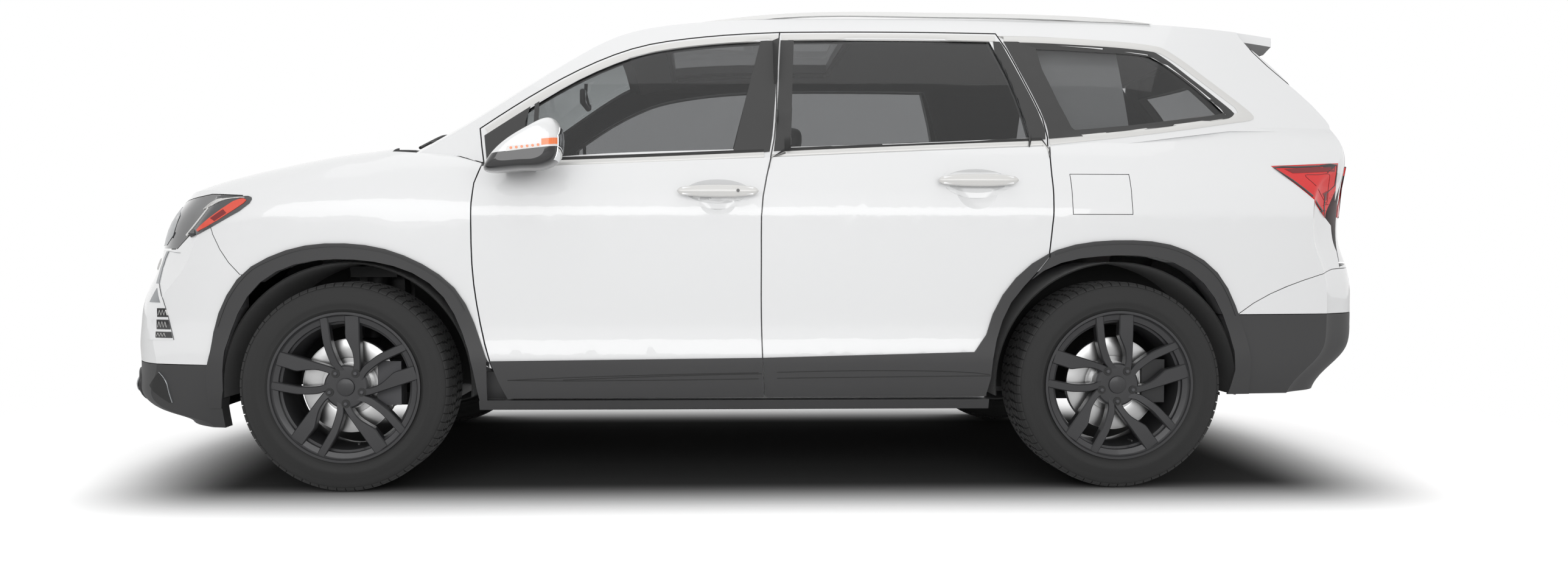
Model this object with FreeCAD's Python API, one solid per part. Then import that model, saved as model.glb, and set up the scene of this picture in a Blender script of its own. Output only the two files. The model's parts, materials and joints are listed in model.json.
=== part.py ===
"""Family SUV with three rows of seats, built as separate panels on a body shell.

Millimetres. X runs from the nose to the tail, -Y is the car's left side and
Z is up from the ground. Sizes along X are counted from the middle of the
wheelbase; save() moves them to the middle of the car's length.
"""
import math
import os

import FreeCAD
import Part

V = FreeCAD.Vector

# Overall sizes
WHEELBASE = 2820.0
TRACK = 1684.0
NOSE_X = -2392.0
TAIL_X = 2548.0
CENTRE_X = (NOSE_X + TAIL_X) / 2.0

# Wheels
TYRE_RADIUS = 380.0
TYRE_WIDTH = 245.0
TYRE_BEAD_RADIUS = 256.0
RIM_RADIUS = 273.0
RIM_WIDTH = 236.0
RIM_BARREL = 236.0
RIM_WALL = 8.0
RIM_LIP = 9.0
SPOKE_PAIRS = 5
SPOKE_DEPTH = 34.0
HUB_RADIUS = 78.0
STUD_CIRCLE = 60.0
STUD_RADIUS = 11.0
STUD_COUNT = 5
DISC_RADIUS = 172.0
DISC_THICK = 28.0
DISC_HAT_RADIUS = 84.0
PIVOT_Y = 822.0
BALL_PIN = 9.0
LOWER_ARM_Z = 246.0
UPPER_ARM_Z = 510.0
ARM_THICK = 26.0
ARCH_RADIUS = 452.0
LINER_WALL = 5.0

# Panels
SHUT_GAP = 5.0
SKIN = 34.0
DOOR_DEPTH = 118.0
BOX_INSET = 40.0
APERTURE_INSET = 16.0
FRAME_DEPTH = 46.0
FRAME_INSET = 18.0
FLANGE_THICK = 12.0
FLANGE_OUT = 10.0
ROOF_DEPTH = 42.0
HOOD_DEPTH = 30.0
GLASS_THICK = 5.0
BUMPER_DEPTH = 60.0
CLADDING = 9.0
SEAT_GAP = 0.3
HOOD_LOW = 1041.0
PIPE_RADIUS = 26.0
PIPE_Y = 120.0
PIPE_Z = 290.0
LAMP_GAP = 3.0
WHEEL_REACH = 175.0
WHEEL_HUB = 44.0
SILL_DEPTH = 10.0
LIP_BACK = 6.0
BED_DEPTH = 4.0
HANDLE_LENGTH = 262.0
HANDLE_PROUD = 36.0
FLAP_THICK = 10.0


def curve(points):
    """Smooth curve through points that never swings past them."""
    xs = [p[0] for p in points]
    ys = [p[1] for p in points]
    count = len(xs)
    slope = [(ys[i + 1] - ys[i]) / (xs[i + 1] - xs[i]) for i in range(count - 1)]
    tangent = [slope[0]]
    for i in range(1, count - 1):
        turning = slope[i - 1] * slope[i] <= 0
        tangent.append(0.0 if turning else (slope[i - 1] + slope[i]) / 2.0)
    tangent.append(slope[-1])
    for i in range(count - 1):
        if slope[i] == 0:
            tangent[i] = tangent[i + 1] = 0.0
            continue
        a, b = tangent[i] / slope[i], tangent[i + 1] / slope[i]
        steep = math.hypot(a, b)
        if steep > 3.0:
            tangent[i] = 3.0 / steep * a * slope[i]
            tangent[i + 1] = 3.0 / steep * b * slope[i]

    def value(x):
        if x <= xs[0]:
            return ys[0] + tangent[0] * (x - xs[0])
        if x >= xs[-1]:
            return ys[-1] + tangent[-1] * (x - xs[-1])
        i = max(j for j in range(count - 1) if xs[j] <= x)
        h = xs[i + 1] - xs[i]
        t = (x - xs[i]) / h
        return ((2 * t ** 3 - 3 * t * t + 1) * ys[i]
                + (t ** 3 - 2 * t * t + t) * h * tangent[i]
                + (3 * t * t - 2 * t ** 3) * ys[i + 1]
                + (t ** 3 - t * t) * h * tangent[i + 1])

    return value


# Half width of the lower body seen from above, and how it changes with height
HALF_WIDTH = curve([(-2700, 480), (-2400, 720), (-2250, 812), (-2100, 868), (-1900, 926),
                    (-1650, 956), (-1400, 970), (-1000, 977), (-400, 984), (300, 986),
                    (900, 984), (1400, 976), (1800, 958), (2100, 930), (2300, 895),
                    (2450, 850), (2700, 740)])
SIDE_BULGE = curve([(150, -75), (300, -30), (340, -17), (420, -7), (486, -4), (530, -9),
                    (600, -14), (700, -13), (800, -9), (900, -5), (985, -1), (1012, 0),
                    (1040, -5), (1100, -19), (1150, -40), (1200, -64), (1260, -98), (1350, -150),
                    (1450, -210)])
SIDE_LEVELS = [180, 260, 320, 380, 440, 486, 530, 600, 700, 800, 900, 975, 1012, 1050, 1100,
               1150, 1200, 1260, 1340, 1430]
TOP_EDGE = curve([(-2700, 700), (-2300, 960), (-2160, 1045), (-2034, 1104), (-1840, 1162),
                  (-1686, 1197), (-1531, 1229), (-1385, 1250), (-1216, 1262), (-1050, 1230),
                  (-850, 1180), (-308, 1196), (107, 1214), (1114, 1258), (1453, 1292),
                  (1688, 1323), (1872, 1346), (2200, 1330), (2700, 1300)])
TOP_CROWN = curve([(-2700, 30), (-2000, 40), (-1300, 40), (-1100, 30), (-900, 4), (2700, 4)])
SHOULDER_DROP = curve([(-2700, 150), (-2000, 150), (-1400, 130), (-1100, 80), (-950, 40),
                       (1700, 40), (2000, 60), (2700, 60)])
SHOULDER_IN = curve([(-2700, 160), (-2000, 230), (-1400, 270), (-1150, 180), (-900, 75),
                     (2700, 80)])
STATIONS = [-2600, -2450, -2300, -2200, -2100, -2000, -1880, -1760, -1620, -1480, -1340,
            -1220, -1100, -980, -860, -700, -450, -150, 200, 550, 900, 1200, 1450, 1650,
            1850, 2050, 2250, 2450, 2700]

# Nose and tail: the centre line seen from the side, and its sweep seen from above
NOSE_LINE = curve([(100, -2150), (229, -2230), (265, -2297), (310, -2364), (359, -2392),
                   (444, -2388), (480, -2392), (560, -2388), (674, -2374), (731, -2353),
                   (779, -2328), (843, -2304), (907, -2291), (972, -2270), (1028, -2233),
                   (1060, -2208), (1090, -2182), (1180, -2120), (1350, -2040), (1900, -1800)])
NOSE_SWEEP = curve([(0, 0), (300, 15), (500, 50), (650, 105), (750, 160), (850, 250),
                    (920, 350), (1000, 500)])
TAIL_LINE = curve([(100, 2330), (250, 2380), (389, 2425), (449, 2490), (525, 2543),
                   (600, 2548), (732, 2546), (818, 2528), (894, 2500), (957, 2492),
                   (1036, 2494), (1178, 2512), (1232, 2520), (1304, 2489), (1374, 2426),
                   (1462, 2348), (1565, 2261), (1648, 2174), (1720, 2090), (1900, 1880)])
TAIL_SWEEP = curve([(0, 0), (300, 22), (550, 84), (750, 160), (850, 250), (930, 370),
                    (1000, 520)])

# Greenhouse
GLASS_LINE = curve([(1000, 950), (1150, 915), (1230, 888), (1350, 845), (1500, 780),
                    (1620, 722), (1700, 680), (1800, 618), (1900, 545)])
GLASS_TAPER = curve([(-1500, -110), (-1000, -38), (-600, -10), (0, 0), (1000, -2), (1165, -6),
                     (1453, -8), (1688, -17), (1872, -36), (2100, -66), (2300, -98), (2600, -170)])
ROOF_LINE = curve([(-1700, 1010), (-1224, 1294), (-1071, 1381), (-917, 1476), (-778, 1560),
                   (-629, 1646), (-498, 1708), (-386, 1738), (-274, 1756), (-100, 1773),
                   (100, 1783), (500, 1789), (1100, 1787), (1500, 1779), (1800, 1764),
                   (2017, 1745), (2170, 1724), (2600, 1650)])


def line(a, b):
    """Straight edge."""
    return Part.LineSegment(a, b).toShape()


def solid_of(faces):
    """Closed solid from faces that share their edges."""
    body = Part.Solid(Part.Shell(faces))
    if body.Volume < 0:
        body.reverse()
    return body


def surface(grid):
    """Smooth face through a grid of points."""
    sheet = Part.BSplineSurface()
    sheet.interpolate(grid)
    return sheet.toShape()


def block(x0, x1, y0, y1, z0, z1):
    """Box between two corners."""
    return Part.makeBox(x1 - x0, y1 - y0, z1 - z0, V(x0, y0, z0))


def mirrored(shape):
    """The same shape on the car's other side."""
    return shape.mirror(V(0, 0, 0), V(0, 1, 0))


def both(shape):
    """A shape and its mirror image."""
    return Part.makeCompound([shape, mirrored(shape)])


def outline(runs, step=70.0):
    """Closed side outline as a face; a run of three or more points is a smooth curve."""
    points = []
    for run in runs:
        if len(run) == 2:
            points.append(V(run[0][0], 0, run[0][1]))
            continue
        sweep = Part.BSplineCurve()
        sweep.interpolate([V(x, 0, z) for x, z in run])
        parts = max(4, int(sweep.length() / step))
        points += sweep.discretize(parts + 1)[:-1]
    last = V(runs[-1][-1][0], 0, runs[-1][-1][1])
    if (last - points[0]).Length > 0.5:
        points.append(last)
    return Part.Face(Part.makePolygon(points + [points[0]]))


def grown(face, distance):
    """Outline face made larger or smaller all round, with sharp corners."""
    return Part.Face(face.OuterWire.makeOffset2D(distance, 2)) if distance else face


def prism(face, y0=-1300.0, y1=0.0):
    """Side outline pushed across the car between two widths."""
    moved = face.copy()
    moved.translate(V(0, y0, 0))
    return moved.extrude(V(0, y1 - y0, 0))


def polygon(points):
    """Straight-sided side outline."""
    return outline([[points[i], points[(i + 1) % len(points)]] for i in range(len(points))])


def body_section(x, inset, bottom):
    """Half cross-section of the lower body from the sill up to the middle of the top."""
    half = HALF_WIDTH(x)
    top = TOP_EDGE(x)
    shoulder = top - SHOULDER_DROP(x)
    points = []
    for k in range(10):
        z = bottom + (shoulder - bottom) * k / 9.0
        points.append((half + SIDE_BULGE(z) - inset, z))
    side_y = half + SIDE_BULGE(shoulder) - inset
    lean = (SIDE_BULGE(shoulder) - SIDE_BULGE(shoulder - 20.0)) / 20.0
    flat_y = max(half - SHOULDER_IN(x) - inset, 150.0)
    flat_z = top - inset
    crown = TOP_CROWN(x)
    fall = 2.0 * crown / flat_y
    knee_z = (flat_z - fall * (side_y - lean * shoulder - flat_y)) / (1.0 + fall * lean)
    knee_y = side_y + lean * (knee_z - shoulder)
    for t in (0.2, 0.4, 0.6, 0.8, 1.0):
        points.append(((1 - t) ** 2 * side_y + 2 * t * (1 - t) * knee_y + t * t * flat_y,
                       (1 - t) ** 2 * shoulder + 2 * t * (1 - t) * knee_z + t * t * flat_z))
    for k in range(1, 6):
        y = flat_y * (1 - k / 5.0)
        points.append((y, flat_z + crown * (1 - (y / flat_y) ** 2)))
    return points


def lower_loft(inset, bottom=150.0):
    """Lower body from sills to hood and belt as one solid, before nose and tail."""
    grid = []
    for x in STATIONS:
        half = body_section(x, inset, bottom)
        grid.append([V(x, -y, z) for y, z in half] + [V(x, y, z) for y, z in reversed(half[:-1])])
    skin = surface(grid)
    ends = []
    rails = []
    for edge in skin.Edges:
        xs = [v.Point.x for v in edge.Vertexes]
        flat = abs(xs[0] - xs[-1]) < 1.0
        (ends if flat else rails).append(edge)
    chords = [line(e.Vertexes[0].Point, e.Vertexes[-1].Point) for e in ends]
    caps = [Part.Face(Part.Wire(Part.__sortEdges__([e, c]))) for e, c in zip(ends, chords)]
    base = Part.Face(Part.Wire(Part.__sortEdges__(rails + chords)))
    return solid_of([skin, base] + caps)


def end_block(profile, sweep, inset, depth):
    """Everything inside the nose surface (depth > 0) or inside the tail surface."""
    sign = 1.0 if depth > 0 else -1.0
    grid = []
    for k in range(23):
        z = 120.0 + 1720.0 * k / 22.0
        row = []
        for j in range(-10, 11):
            y = 1020.0 * j / 10.0
            row.append(V(profile(z) + sign * (sweep(abs(y)) + inset), y, z))
        grid.append(row)
    return surface(grid).extrude(V(depth, 0, 0))


def nose_block(inset):
    """Space behind the front surface."""
    return end_block(NOSE_LINE, NOSE_SWEEP, inset, 6000.0)


def tail_block(inset):
    """Space ahead of the rear surface."""
    return end_block(TAIL_LINE, TAIL_SWEEP, inset, -6000.0)


def roof_height(x, y):
    """Height of windscreen and roof over a point of the plan."""
    bow = 0.28e-3 * (500.0 ** 2 - y * y)
    along = 1.0 - 2.0 * min(max((x + 500.0) / 2200.0, 0.0), 1.0)
    return ROOF_LINE(x + bow * max(along, 0.0)) + 0.047e-3 * (500.0 ** 2 - y * y)


def side_sheet(inset):
    """Left side surface of the lower body at a depth under the outside."""
    grid = []
    for x in STATIONS[8:]:
        grid.append([V(x, -(HALF_WIDTH(x) + SIDE_BULGE(z) - inset), z) for z in SIDE_LEVELS])
    return surface(grid)


def glass_sheet(inset):
    """Left side surface of the greenhouse at a depth under the outside."""
    grid = []
    for k in range(15):
        x = -1400.0 + 290.0 * k
        grid.append([V(x, -(GLASS_LINE(z) + GLASS_TAPER(x) - inset), z)
                     for z in [1060.0 + 75.0 * j for j in range(11)]])
    return surface(grid)


def roof_sheet(inset):
    """Windscreen and roof surface at a depth under the outside."""
    grid = []
    for k in range(34):
        x = -1500.0 + 128.0 * k
        slant = 1.0 + 0.135 * max(0.0, min(1.0, (-x - 350.0) / 200.0))
        grid.append([V(x, y, roof_height(x, y) - inset * slant)
                     for y in [-1000.0 + 100.0 * j for j in range(21)]])
    return surface(grid)


def side_slab(face, outer, depth):
    """Left-hand piece of the greenhouse side inside a side outline."""
    return glass_sheet(outer).extrude(V(0, depth, 0)).common(prism(face, -1300.0, -300.0))


def roof_slab(face, outer, depth):
    """Piece of roof or windscreen over an outline seen from above."""
    low = face.copy()
    low.translate(V(0, 0, 900))
    return roof_sheet(outer).extrude(V(0, 0, -depth)).common(low.extrude(V(0, 0, 1000)))


def under_roof(inset):
    """Space below the roof and windscreen surface."""
    return roof_sheet(inset).extrude(V(0, 0, -1500))


CACHE = {}


def body_shape(inset):
    """Lower body closed at nose and tail, kept for later use."""
    key = ("body", inset)
    if key not in CACHE:
        raw = lower_loft(inset)
        CACHE[key] = raw.common(nose_block(inset)).common(tail_block(inset))
    return CACHE[key]


def raw_loft(inset):
    """Lower body without nose and tail, kept for later use."""
    key = ("raw", inset)
    if key not in CACHE:
        CACHE[key] = lower_loft(inset)
    return CACHE[key]


def side_part(face, outer, depth):
    """Left-hand piece of the lower body side inside a side outline."""
    return side_sheet(outer).extrude(V(0, depth, 0)).common(prism(face, -1300.0, -400.0))


def loft_part(face, outer, inner, y_in=-560.0):
    """Left-hand piece of the rounded front body between two depths."""
    return raw_loft(outer).common(prism(face, -1300.0, y_in)).cut(raw_loft(inner))


def cylinder_y(radius, x, z, y0, y1):
    """Round bar across the car."""
    return Part.makeCylinder(radius, y1 - y0, V(x, y0, z), V(0, 1, 0))


def tube_y(outer, inner, x, z, y0, y1):
    """Ring across the car."""
    return cylinder_y(outer, x, z, y0, y1).cut(cylinder_y(inner, x, z, y0 - 1, y1 + 1))


FRONT_X = -WHEELBASE / 2.0
REAR_X = WHEELBASE / 2.0

# Shut lines and outlines seen from the side
ROOF_SEAM = [(-943, 1327), (-777, 1442), (-625, 1536), (-474, 1612), (-348, 1657), (-196, 1686),
             (-17, 1706), (188, 1718), (600, 1722), (1051, 1717), (1400, 1703), (1682, 1673),
             (1830, 1590), (1933, 1497), (2034, 1398)]
DOOR_FRONT_EDGE = [(-943, 1327), (-930, 1250), (-918, 1190), (-938, 1126), (-947, 1040),
                   (-948, 929), (-944, 789), (-926, 649), (-890, 493), (-855, 400), (-824, 338)]
B_SEAM = [(179, 1718), (160, 1463), (142, 1265), (118, 1160), (97, 1050), (93, 900),
          (93, 700), (96, 540), (105, 342)]
C_SEAM = [(1020, 1718), (1041, 1677), (1119, 1475), (1165, 1320), (1160, 1200), (1156, 1043),
          (1148, 930), (1140, 850)]
ARCH_FRONT = [(-1868, 300), (-1852, 377), (-1845, 500), (-1826, 564), (-1782, 668), (-1709, 758),
              (-1609, 815), (-1410, 843), (-1212, 815), (-1108, 765), (-1035, 690), (-990, 600),
              (-956, 501), (-930, 370), (-915, 300)]
ARCH_REAR = [(915, 300), (926, 382), (937, 479), (960, 580), (1002, 681), (1071, 766),
             (1157, 820), (1297, 851), (1414, 857), (1532, 849), (1634, 816), (1722, 750),
             (1778, 672), (1811, 594), (1835, 510), (1841, 440), (1828, 380), (1800, 300)]
CLAD_FRONT = [(-1915, 440), (-1898, 505), (-1882, 599), (-1837, 707), (-1765, 797), (-1686, 845),
              (-1560, 888), (-1410, 900), (-1257, 880), (-1157, 843), (-1066, 790), (-1001, 730),
              (-955, 650), (-925, 570), (-895, 481)]
CLAD_REAR = [(869, 506), (898, 535), (925, 610), (967, 705), (1037, 793), (1145, 867),
             (1263, 901), (1419, 912), (1577, 898), (1696, 851), (1776, 785), (1824, 711),
             (1855, 640), (1883, 560), (1900, 470)]
FENDER_FRONT = [(-1894, 985), (-1853, 873), (-1785, 790)]
QUARTER_REAR = [(1855, 640), (1960, 706), (2100, 762), (2250, 806), (2700, 829)]
TAILGATE_SIDE = [(2003, 1860), (2006, 1722), (2040, 1662), (2190, 1500), (2320, 1330), (2345, 1235),
                 (2318, 1120), (2300, 1000), (2296, 900), (2300, 810)]


def rev(points):
    """Run walked the other way."""
    return list(reversed(points))


def plan_face(points):
    """Outline seen from above as a face."""
    corners = [V(x, y, 0) for x, y in points]
    return Part.Face(Part.makePolygon(corners + [corners[0]]))


HALF_GAP = SHUT_GAP / 2.0

FRONT_DOOR_FACE = outline([DOOR_FRONT_EDGE, [(-824, 338), (105, 342)], rev(B_SEAM),
                           [(179, 1718)] + [p for p in rev(ROOF_SEAM) if -950 < p[0] < 170]])
REAR_DOOR_FACE = outline([B_SEAM, [(105, 342), (913, 341)],
                          [(913, 341), (926, 382), (937, 479), (960, 580), (1002, 681),
                           (1071, 766), (1140, 850)], rev(C_SEAM),
                          [(1020, 1718), (600, 1722), (179, 1718)]])
FRONT_GLASS_FACE = outline([[(-775, 1205), (-600, 1222), (13, 1247), (95, 1250)],
                            [(95, 1250), (118, 1463), (139, 1684)],
                            [(139, 1684), (-17, 1672), (-182, 1654), (-330, 1626), (-452, 1582),
                             (-600, 1508), (-690, 1452), (-775, 1395)],
                            [(-775, 1395), (-775, 1205)]])
REAR_GLASS_FACE = outline([[(196, 1256), (600, 1270), (1100, 1294)],
                           [(1100, 1294), (1062, 1475), (990, 1684)],
                           [(990, 1684), (600, 1690), (222, 1685)],
                           [(222, 1685), (208, 1463), (196, 1256)]])
QUARTER_GLASS_FACE = outline([[(1235, 1305), (1483, 1325), (1718, 1352), (1880, 1378)],
                              [(1880, 1378), (1800, 1470), (1700, 1565), (1600, 1632)],
                              [(1600, 1632), (1350, 1662), (1110, 1676)],
                              [(1110, 1676), (1165, 1500), (1235, 1305)]])
BELT_FACE = polygon([(-1100, 0), (1400, 0), (1400, 1276), (1183, 1262), (107, 1214),
                     (-700, 1180), (-1100, 1180)])
WAIST_FACE = polygon([(-1100, 1150), (1400, 1230), (1400, 1900), (-1100, 1900)])


def door(face, glass_face, handle_x, handle_z):
    """Painted door: skin, inner box held back from the shut line, window frame and handle."""
    skin_face = grown(face, -HALF_GAP).common(BELT_FACE)
    box_face = grown(face, -BOX_INSET).common(BELT_FACE)
    flange = grown(face, -HALF_GAP).common(WAIST_FACE).cut(glass_face)
    frame = grown(face, -FRAME_INSET).common(WAIST_FACE).cut(glass_face)
    leaf = side_part(skin_face, 0.0, SKIN)
    leaf = leaf.fuse(side_part(box_face, SKIN - 1.0, DOOR_DEPTH - SKIN + 1.0))
    leaf = leaf.fuse(side_slab(flange, 0.0, FLANGE_THICK))
    leaf = leaf.fuse(side_slab(frame, FLANGE_THICK - 1.0, FRAME_DEPTH - FLANGE_THICK + 1.0))
    return handle_at(leaf, handle_x, handle_z)


def handle_at(leaf, x, z):
    """Door with its grab handle and the shallow bowl behind it."""
    skin_y = -(HALF_WIDTH(x) + SIDE_BULGE(z))
    bowl = Part.makeSphere(150.0, V(x, skin_y - 138.0, z - 2.0))
    half = HANDLE_LENGTH / 2.0
    bar = block(x - half, x + half, skin_y - HANDLE_PROUD, skin_y - HANDLE_PROUD + 15.0, z - 13.0, z + 13.0)
    bar = bar.makeFillet(6.0, [e for e in bar.Edges if abs(e.BoundBox.XLength) < 1.0])
    feet = block(x - half, x - half + 34.0, skin_y - HANDLE_PROUD + 4.0, skin_y + 12.0, z - 11.0, z + 11.0)
    feet = feet.fuse(block(x + half - 52.0, x + half, skin_y - HANDLE_PROUD + 4.0, skin_y + 12.0,
                           z - 11.0, z + 11.0))
    return leaf.cut(bowl).fuse(bar.fuse(feet))


FRONT_ARCH_FACE = outline([ARCH_FRONT, [(-915, 300), (-915, 100)], [(-915, 100), (-1868, 100)]])
REAR_ARCH_FACE = outline([ARCH_REAR, [(1800, 300), (1800, 100)], [(1800, 100), (915, 100)]])
REAR_CLAD_FACE = outline([CLAD_REAR, [(1900, 470), (1900, 345)], [(1900, 345), (869, 345)],
                          [(869, 345), (869, 506)]])
SCREEN_PLAN = [(-1262, 0), (-1240, -350), (-1150, -748), (-455, -602), (-455, 602), (-1150, 748),
               (-1240, 350)]
HOOD_PLAN = [(-2700, -640), (-2100, -640), (-1850, -715), (-1650, -745), (-1345, -745),
             (-1290, -400), (-1278, 0), (-1290, 400), (-1345, 745), (-1650, 745), (-1850, 715),
             (-2100, 640), (-2700, 640)]
COWL_PLAN = [(-1400, -740), (-1130, -740), (-1130, 740), (-1400, 740)]
SUNROOF_PLAN = [(-250, -400), (480, -430), (480, 430), (-250, 400)]
SPOILER_PLAN = [(2006, -594), (2150, -584), (2205, -420), (2232, 0), (2205, 420), (2150, 584),
                (2006, 594)]
PLATE_X = 2474.0
PLATE_Z = 950.0
PLATE_WIDTH = 540.0
PLATE_HEIGHT = 130.0
ROOF_HALF = 600.0
LAMP_FACE = outline([[(-1775, 1071), (-1905, 1078)], [(-1905, 1078), (-2060, 1060)],
                     [(-2060, 1060), (-2330, 975)], [(-2330, 975), (-2330, 885)],
                     [(-2330, 885), (-2049, 881)],
                     [(-2049, 881), (-2000, 921), (-1934, 955), (-1879, 988), (-1790, 1036)],
                     [(-1790, 1036), (-1775, 1071)]])


def high_prism(points, low=500.0, high=1900.0):
    """Outline seen from above pushed up through the car."""
    face = plan_face(points)
    face.translate(V(0, 0, low))
    return face.extrude(V(0, 0, high - low))


def arch_space(face, x, reach):
    """Space of a left wheel arch, with the liner's outside."""
    liner = cylinder_y(ARCH_RADIUS + SEAT_GAP, x, TYRE_RADIUS, -1300.0, -reach)
    return prism(face, -1300.0, -reach).fuse(liner)


def cut_arches(piece):
    """Open a left-hand panel round both wheels."""
    front = arch_space(FRONT_ARCH_FACE, FRONT_X, 450.0)
    return piece.cut(front).cut(arch_space(REAR_ARCH_FACE, REAR_X, 600.0))


def body_side():
    """Left sill, pillars, roof rail and rear quarter around the door openings."""
    wall_face = polygon([(-965, 305), (1500, 305), (1500, 1262), (1183, 1255), (107, 1205),
                         (-700, 1172), (-870, 1148), (-965, 1148)])
    wall = side_part(wall_face, SKIN + SILL_DEPTH, DOOR_DEPTH - SILL_DEPTH)
    rail_face = polygon([(-965, 1150), (1500, 1240), (1500, 1730), (60, 1765), (-180, 1725),
                         (-500, 1640), (-965, 1355)])
    rail = side_slab(rail_face, FRAME_DEPTH + 6.0, 40.0)
    for face in (FRONT_DOOR_FACE, REAR_DOOR_FACE):
        wall = wall.cut(prism(grown(face, -APERTURE_INSET), -1300, -400))
        rail = rail.cut(prism(grown(face, -34.0), -1300, -400))
    rail = rail.cut(block(-460, 2200, -ROOF_HALF - 2.0, 0, 1500, 1900))
    doors = grown(FRONT_DOOR_FACE, HALF_GAP).fuse(grown(REAR_DOOR_FACE, HALF_GAP))
    upper_face = polygon([(-1262, 1240), (-1010, 1222), (-930, 1200), (1100, 1240), (1453, 1272),
                          (1872, 1326), (2300, 1330), (2300, 1900), (-1262, 1900)])
    upper_face = upper_face.cut(doors).cut(QUARTER_GLASS_FACE).cut(tail_region(-HALF_GAP))
    upper = side_slab(upper_face, 0.0, 70.0).common(under_roof(0.0))
    upper = upper.cut(high_prism(grow_plan(SCREEN_PLAN, 4.0)))
    upper = upper.cut(block(-460, 2200, -ROOF_HALF - 2.0, 0, 1500, 1900))
    low_face = quarter_face().cut(grown(REAR_DOOR_FACE, HALF_GAP)).cut(tail_region(-HALF_GAP))
    low = side_part(low_face, 0.0, 74.0).common(tail_block(0.0))
    shell = cut_arches(wall.fuse(rail).fuse(upper).fuse(low))
    return shell.fuse(hinge_brackets()).fuse(screen_flange())


def quarter_face():
    """Side outline of the rear quarter below the window."""
    return outline([[(1140, 850), (1148, 930), (1156, 1043), (1160, 1200), (1170, 1260)],
                    [(1170, 1260), (1453, 1288)], [(1453, 1288), (1688, 1320)],
                    [(1688, 1320), (1872, 1342)], [(1872, 1342), (2400, 1342)],
                    [(2400, 1342), (2400, 814)], [(2400, 814), (2250, 806)],
                    rev(QUARTER_REAR[:4]), [(1855, 640), (1700, 640)],
                    [(1700, 640), (1140, 850)]])


def hinge_brackets():
    """Hinge brackets on the pillars that carry both left doors at their front faces."""
    parts = []
    for face, x0, x1 in ((FRONT_DOOR_FACE, -962.0, -890.0), (REAR_DOOR_FACE, 95.0, 150.0)):
        box_face = grown(face, SEAT_GAP - BOX_INSET)
        for z in (590.0, 960.0):
            plate = side_part(polygon([(x0, z), (x1, z), (x1, z + 60), (x0, z + 60)]), SKIN + 16.0, 40.0)
            parts.append(plate.cut(prism(box_face, -1300, -400)))
    return parts[0].fuse(parts[1:])


def screen_flange():
    """Left half of the flange that the windscreen is bonded to."""
    ring = plan_face(grow_plan(SCREEN_PLAN, FLANGE_OUT)).cut(plan_face(grow_plan(SCREEN_PLAN, -26.0)))
    ring = ring.common(plan_face([(-1400, -900), (-300, -900), (-300, 0), (-1400, 0)]))
    edge = -ROOF_HALF - 2.0
    ring = ring.cut(plan_face([(-452, edge), (-300, edge), (-300, 0), (-452, 0)]))
    return roof_slab(ring, 4.0 + GLASS_THICK + SEAT_GAP, 14.0)


def grow_plan(points, distance):
    """Plan outline made larger all round."""
    wire = plan_face(points).OuterWire.makeOffset2D(distance, 2)
    return [(v.Point.x, v.Point.y) for v in wire.OrderedVertexes]


def hood():
    """Hood panel."""
    panel = raw_loft(0.0).common(high_prism(HOOD_PLAN)).cut(raw_loft(HOOD_DEPTH))
    return panel.common(nose_block(0.0)).common(block(-2700, -1200, -900, 900, HOOD_LOW, 1500))


def cowl():
    """Dark panel between hood and windscreen."""
    panel = raw_loft(9.0).common(high_prism(COWL_PLAN)).cut(raw_loft(24.0))
    panel = panel.cut(high_prism(grow_plan(HOOD_PLAN, SHUT_GAP)))
    panel = panel.cut(high_prism(grow_plan(SCREEN_PLAN, FLANGE_OUT + SEAT_GAP)))
    return panel.common(under_roof(4.0))


def front_fenders():
    """Both front fenders."""
    face = outline([[(-2330, 975), (-1894, 985)], FENDER_FRONT, [(-1785, 790), (-955, 480)],
                    [(-955, 480), (-800, 420)], [(-800, 420), (-800, 1210)],
                    [(-800, 1210), (-1010, 1222)], [(-1010, 1222), (-1262, 1240)],
                    [(-1262, 1240), (-1262, 1400)], [(-1262, 1400), (-2330, 1400)],
                    [(-2330, 1400), (-2330, 975)]])
    face = face.cut(grown(FRONT_DOOR_FACE, HALF_GAP)).cut(grown(LAMP_FACE, LAMP_GAP))
    panel = loft_part(face, 0.0, SKIN, -500.0)
    panel = panel.cut(high_prism(grow_plan(HOOD_PLAN, SHUT_GAP)))
    panel = panel.cut(high_prism([(-1350, -743), (-1100, -743), (-1100, 743), (-1350, 743)]))
    pillar = glass_sheet(-SEAT_GAP).extrude(V(0, 900, 0))
    panel = panel.cut(pillar.common(block(-1262, -700, -1300, 0, 1130, 1500)))
    return both(cut_arches(panel).common(nose_block(0.0)))


def bumper_wall(z0, z1, depth):
    """Front fascia wall between two heights."""
    core = body_shape(0.0).common(block(-2700, -1780, -1100, 1100, z0, z1))
    return core.cut(body_shape(depth))


def front_bumper():
    """Painted upper front bumper."""
    wall = bumper_wall(460, HOOD_LOW - SHUT_GAP, BUMPER_DEPTH)
    cut_face = outline([[(-2330, 975), (-1894, 985)], FENDER_FRONT, [(-1785, 790), (-1400, 790)],
                        [(-1400, 790), (-1400, 1400)], [(-1400, 1400), (-2330, 1400)],
                        [(-2330, 1400), (-2330, 975)]])
    side = prism(grown(cut_face, HALF_GAP), -1300, -560).fuse(prism(grown(LAMP_FACE, LAMP_GAP), -1300, -560))
    side = side.fuse(arch_space(FRONT_ARCH_FACE, FRONT_X, 450.0))
    return wall.cut(side).cut(mirrored(side)).cut(grille_space(0.0))


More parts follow.
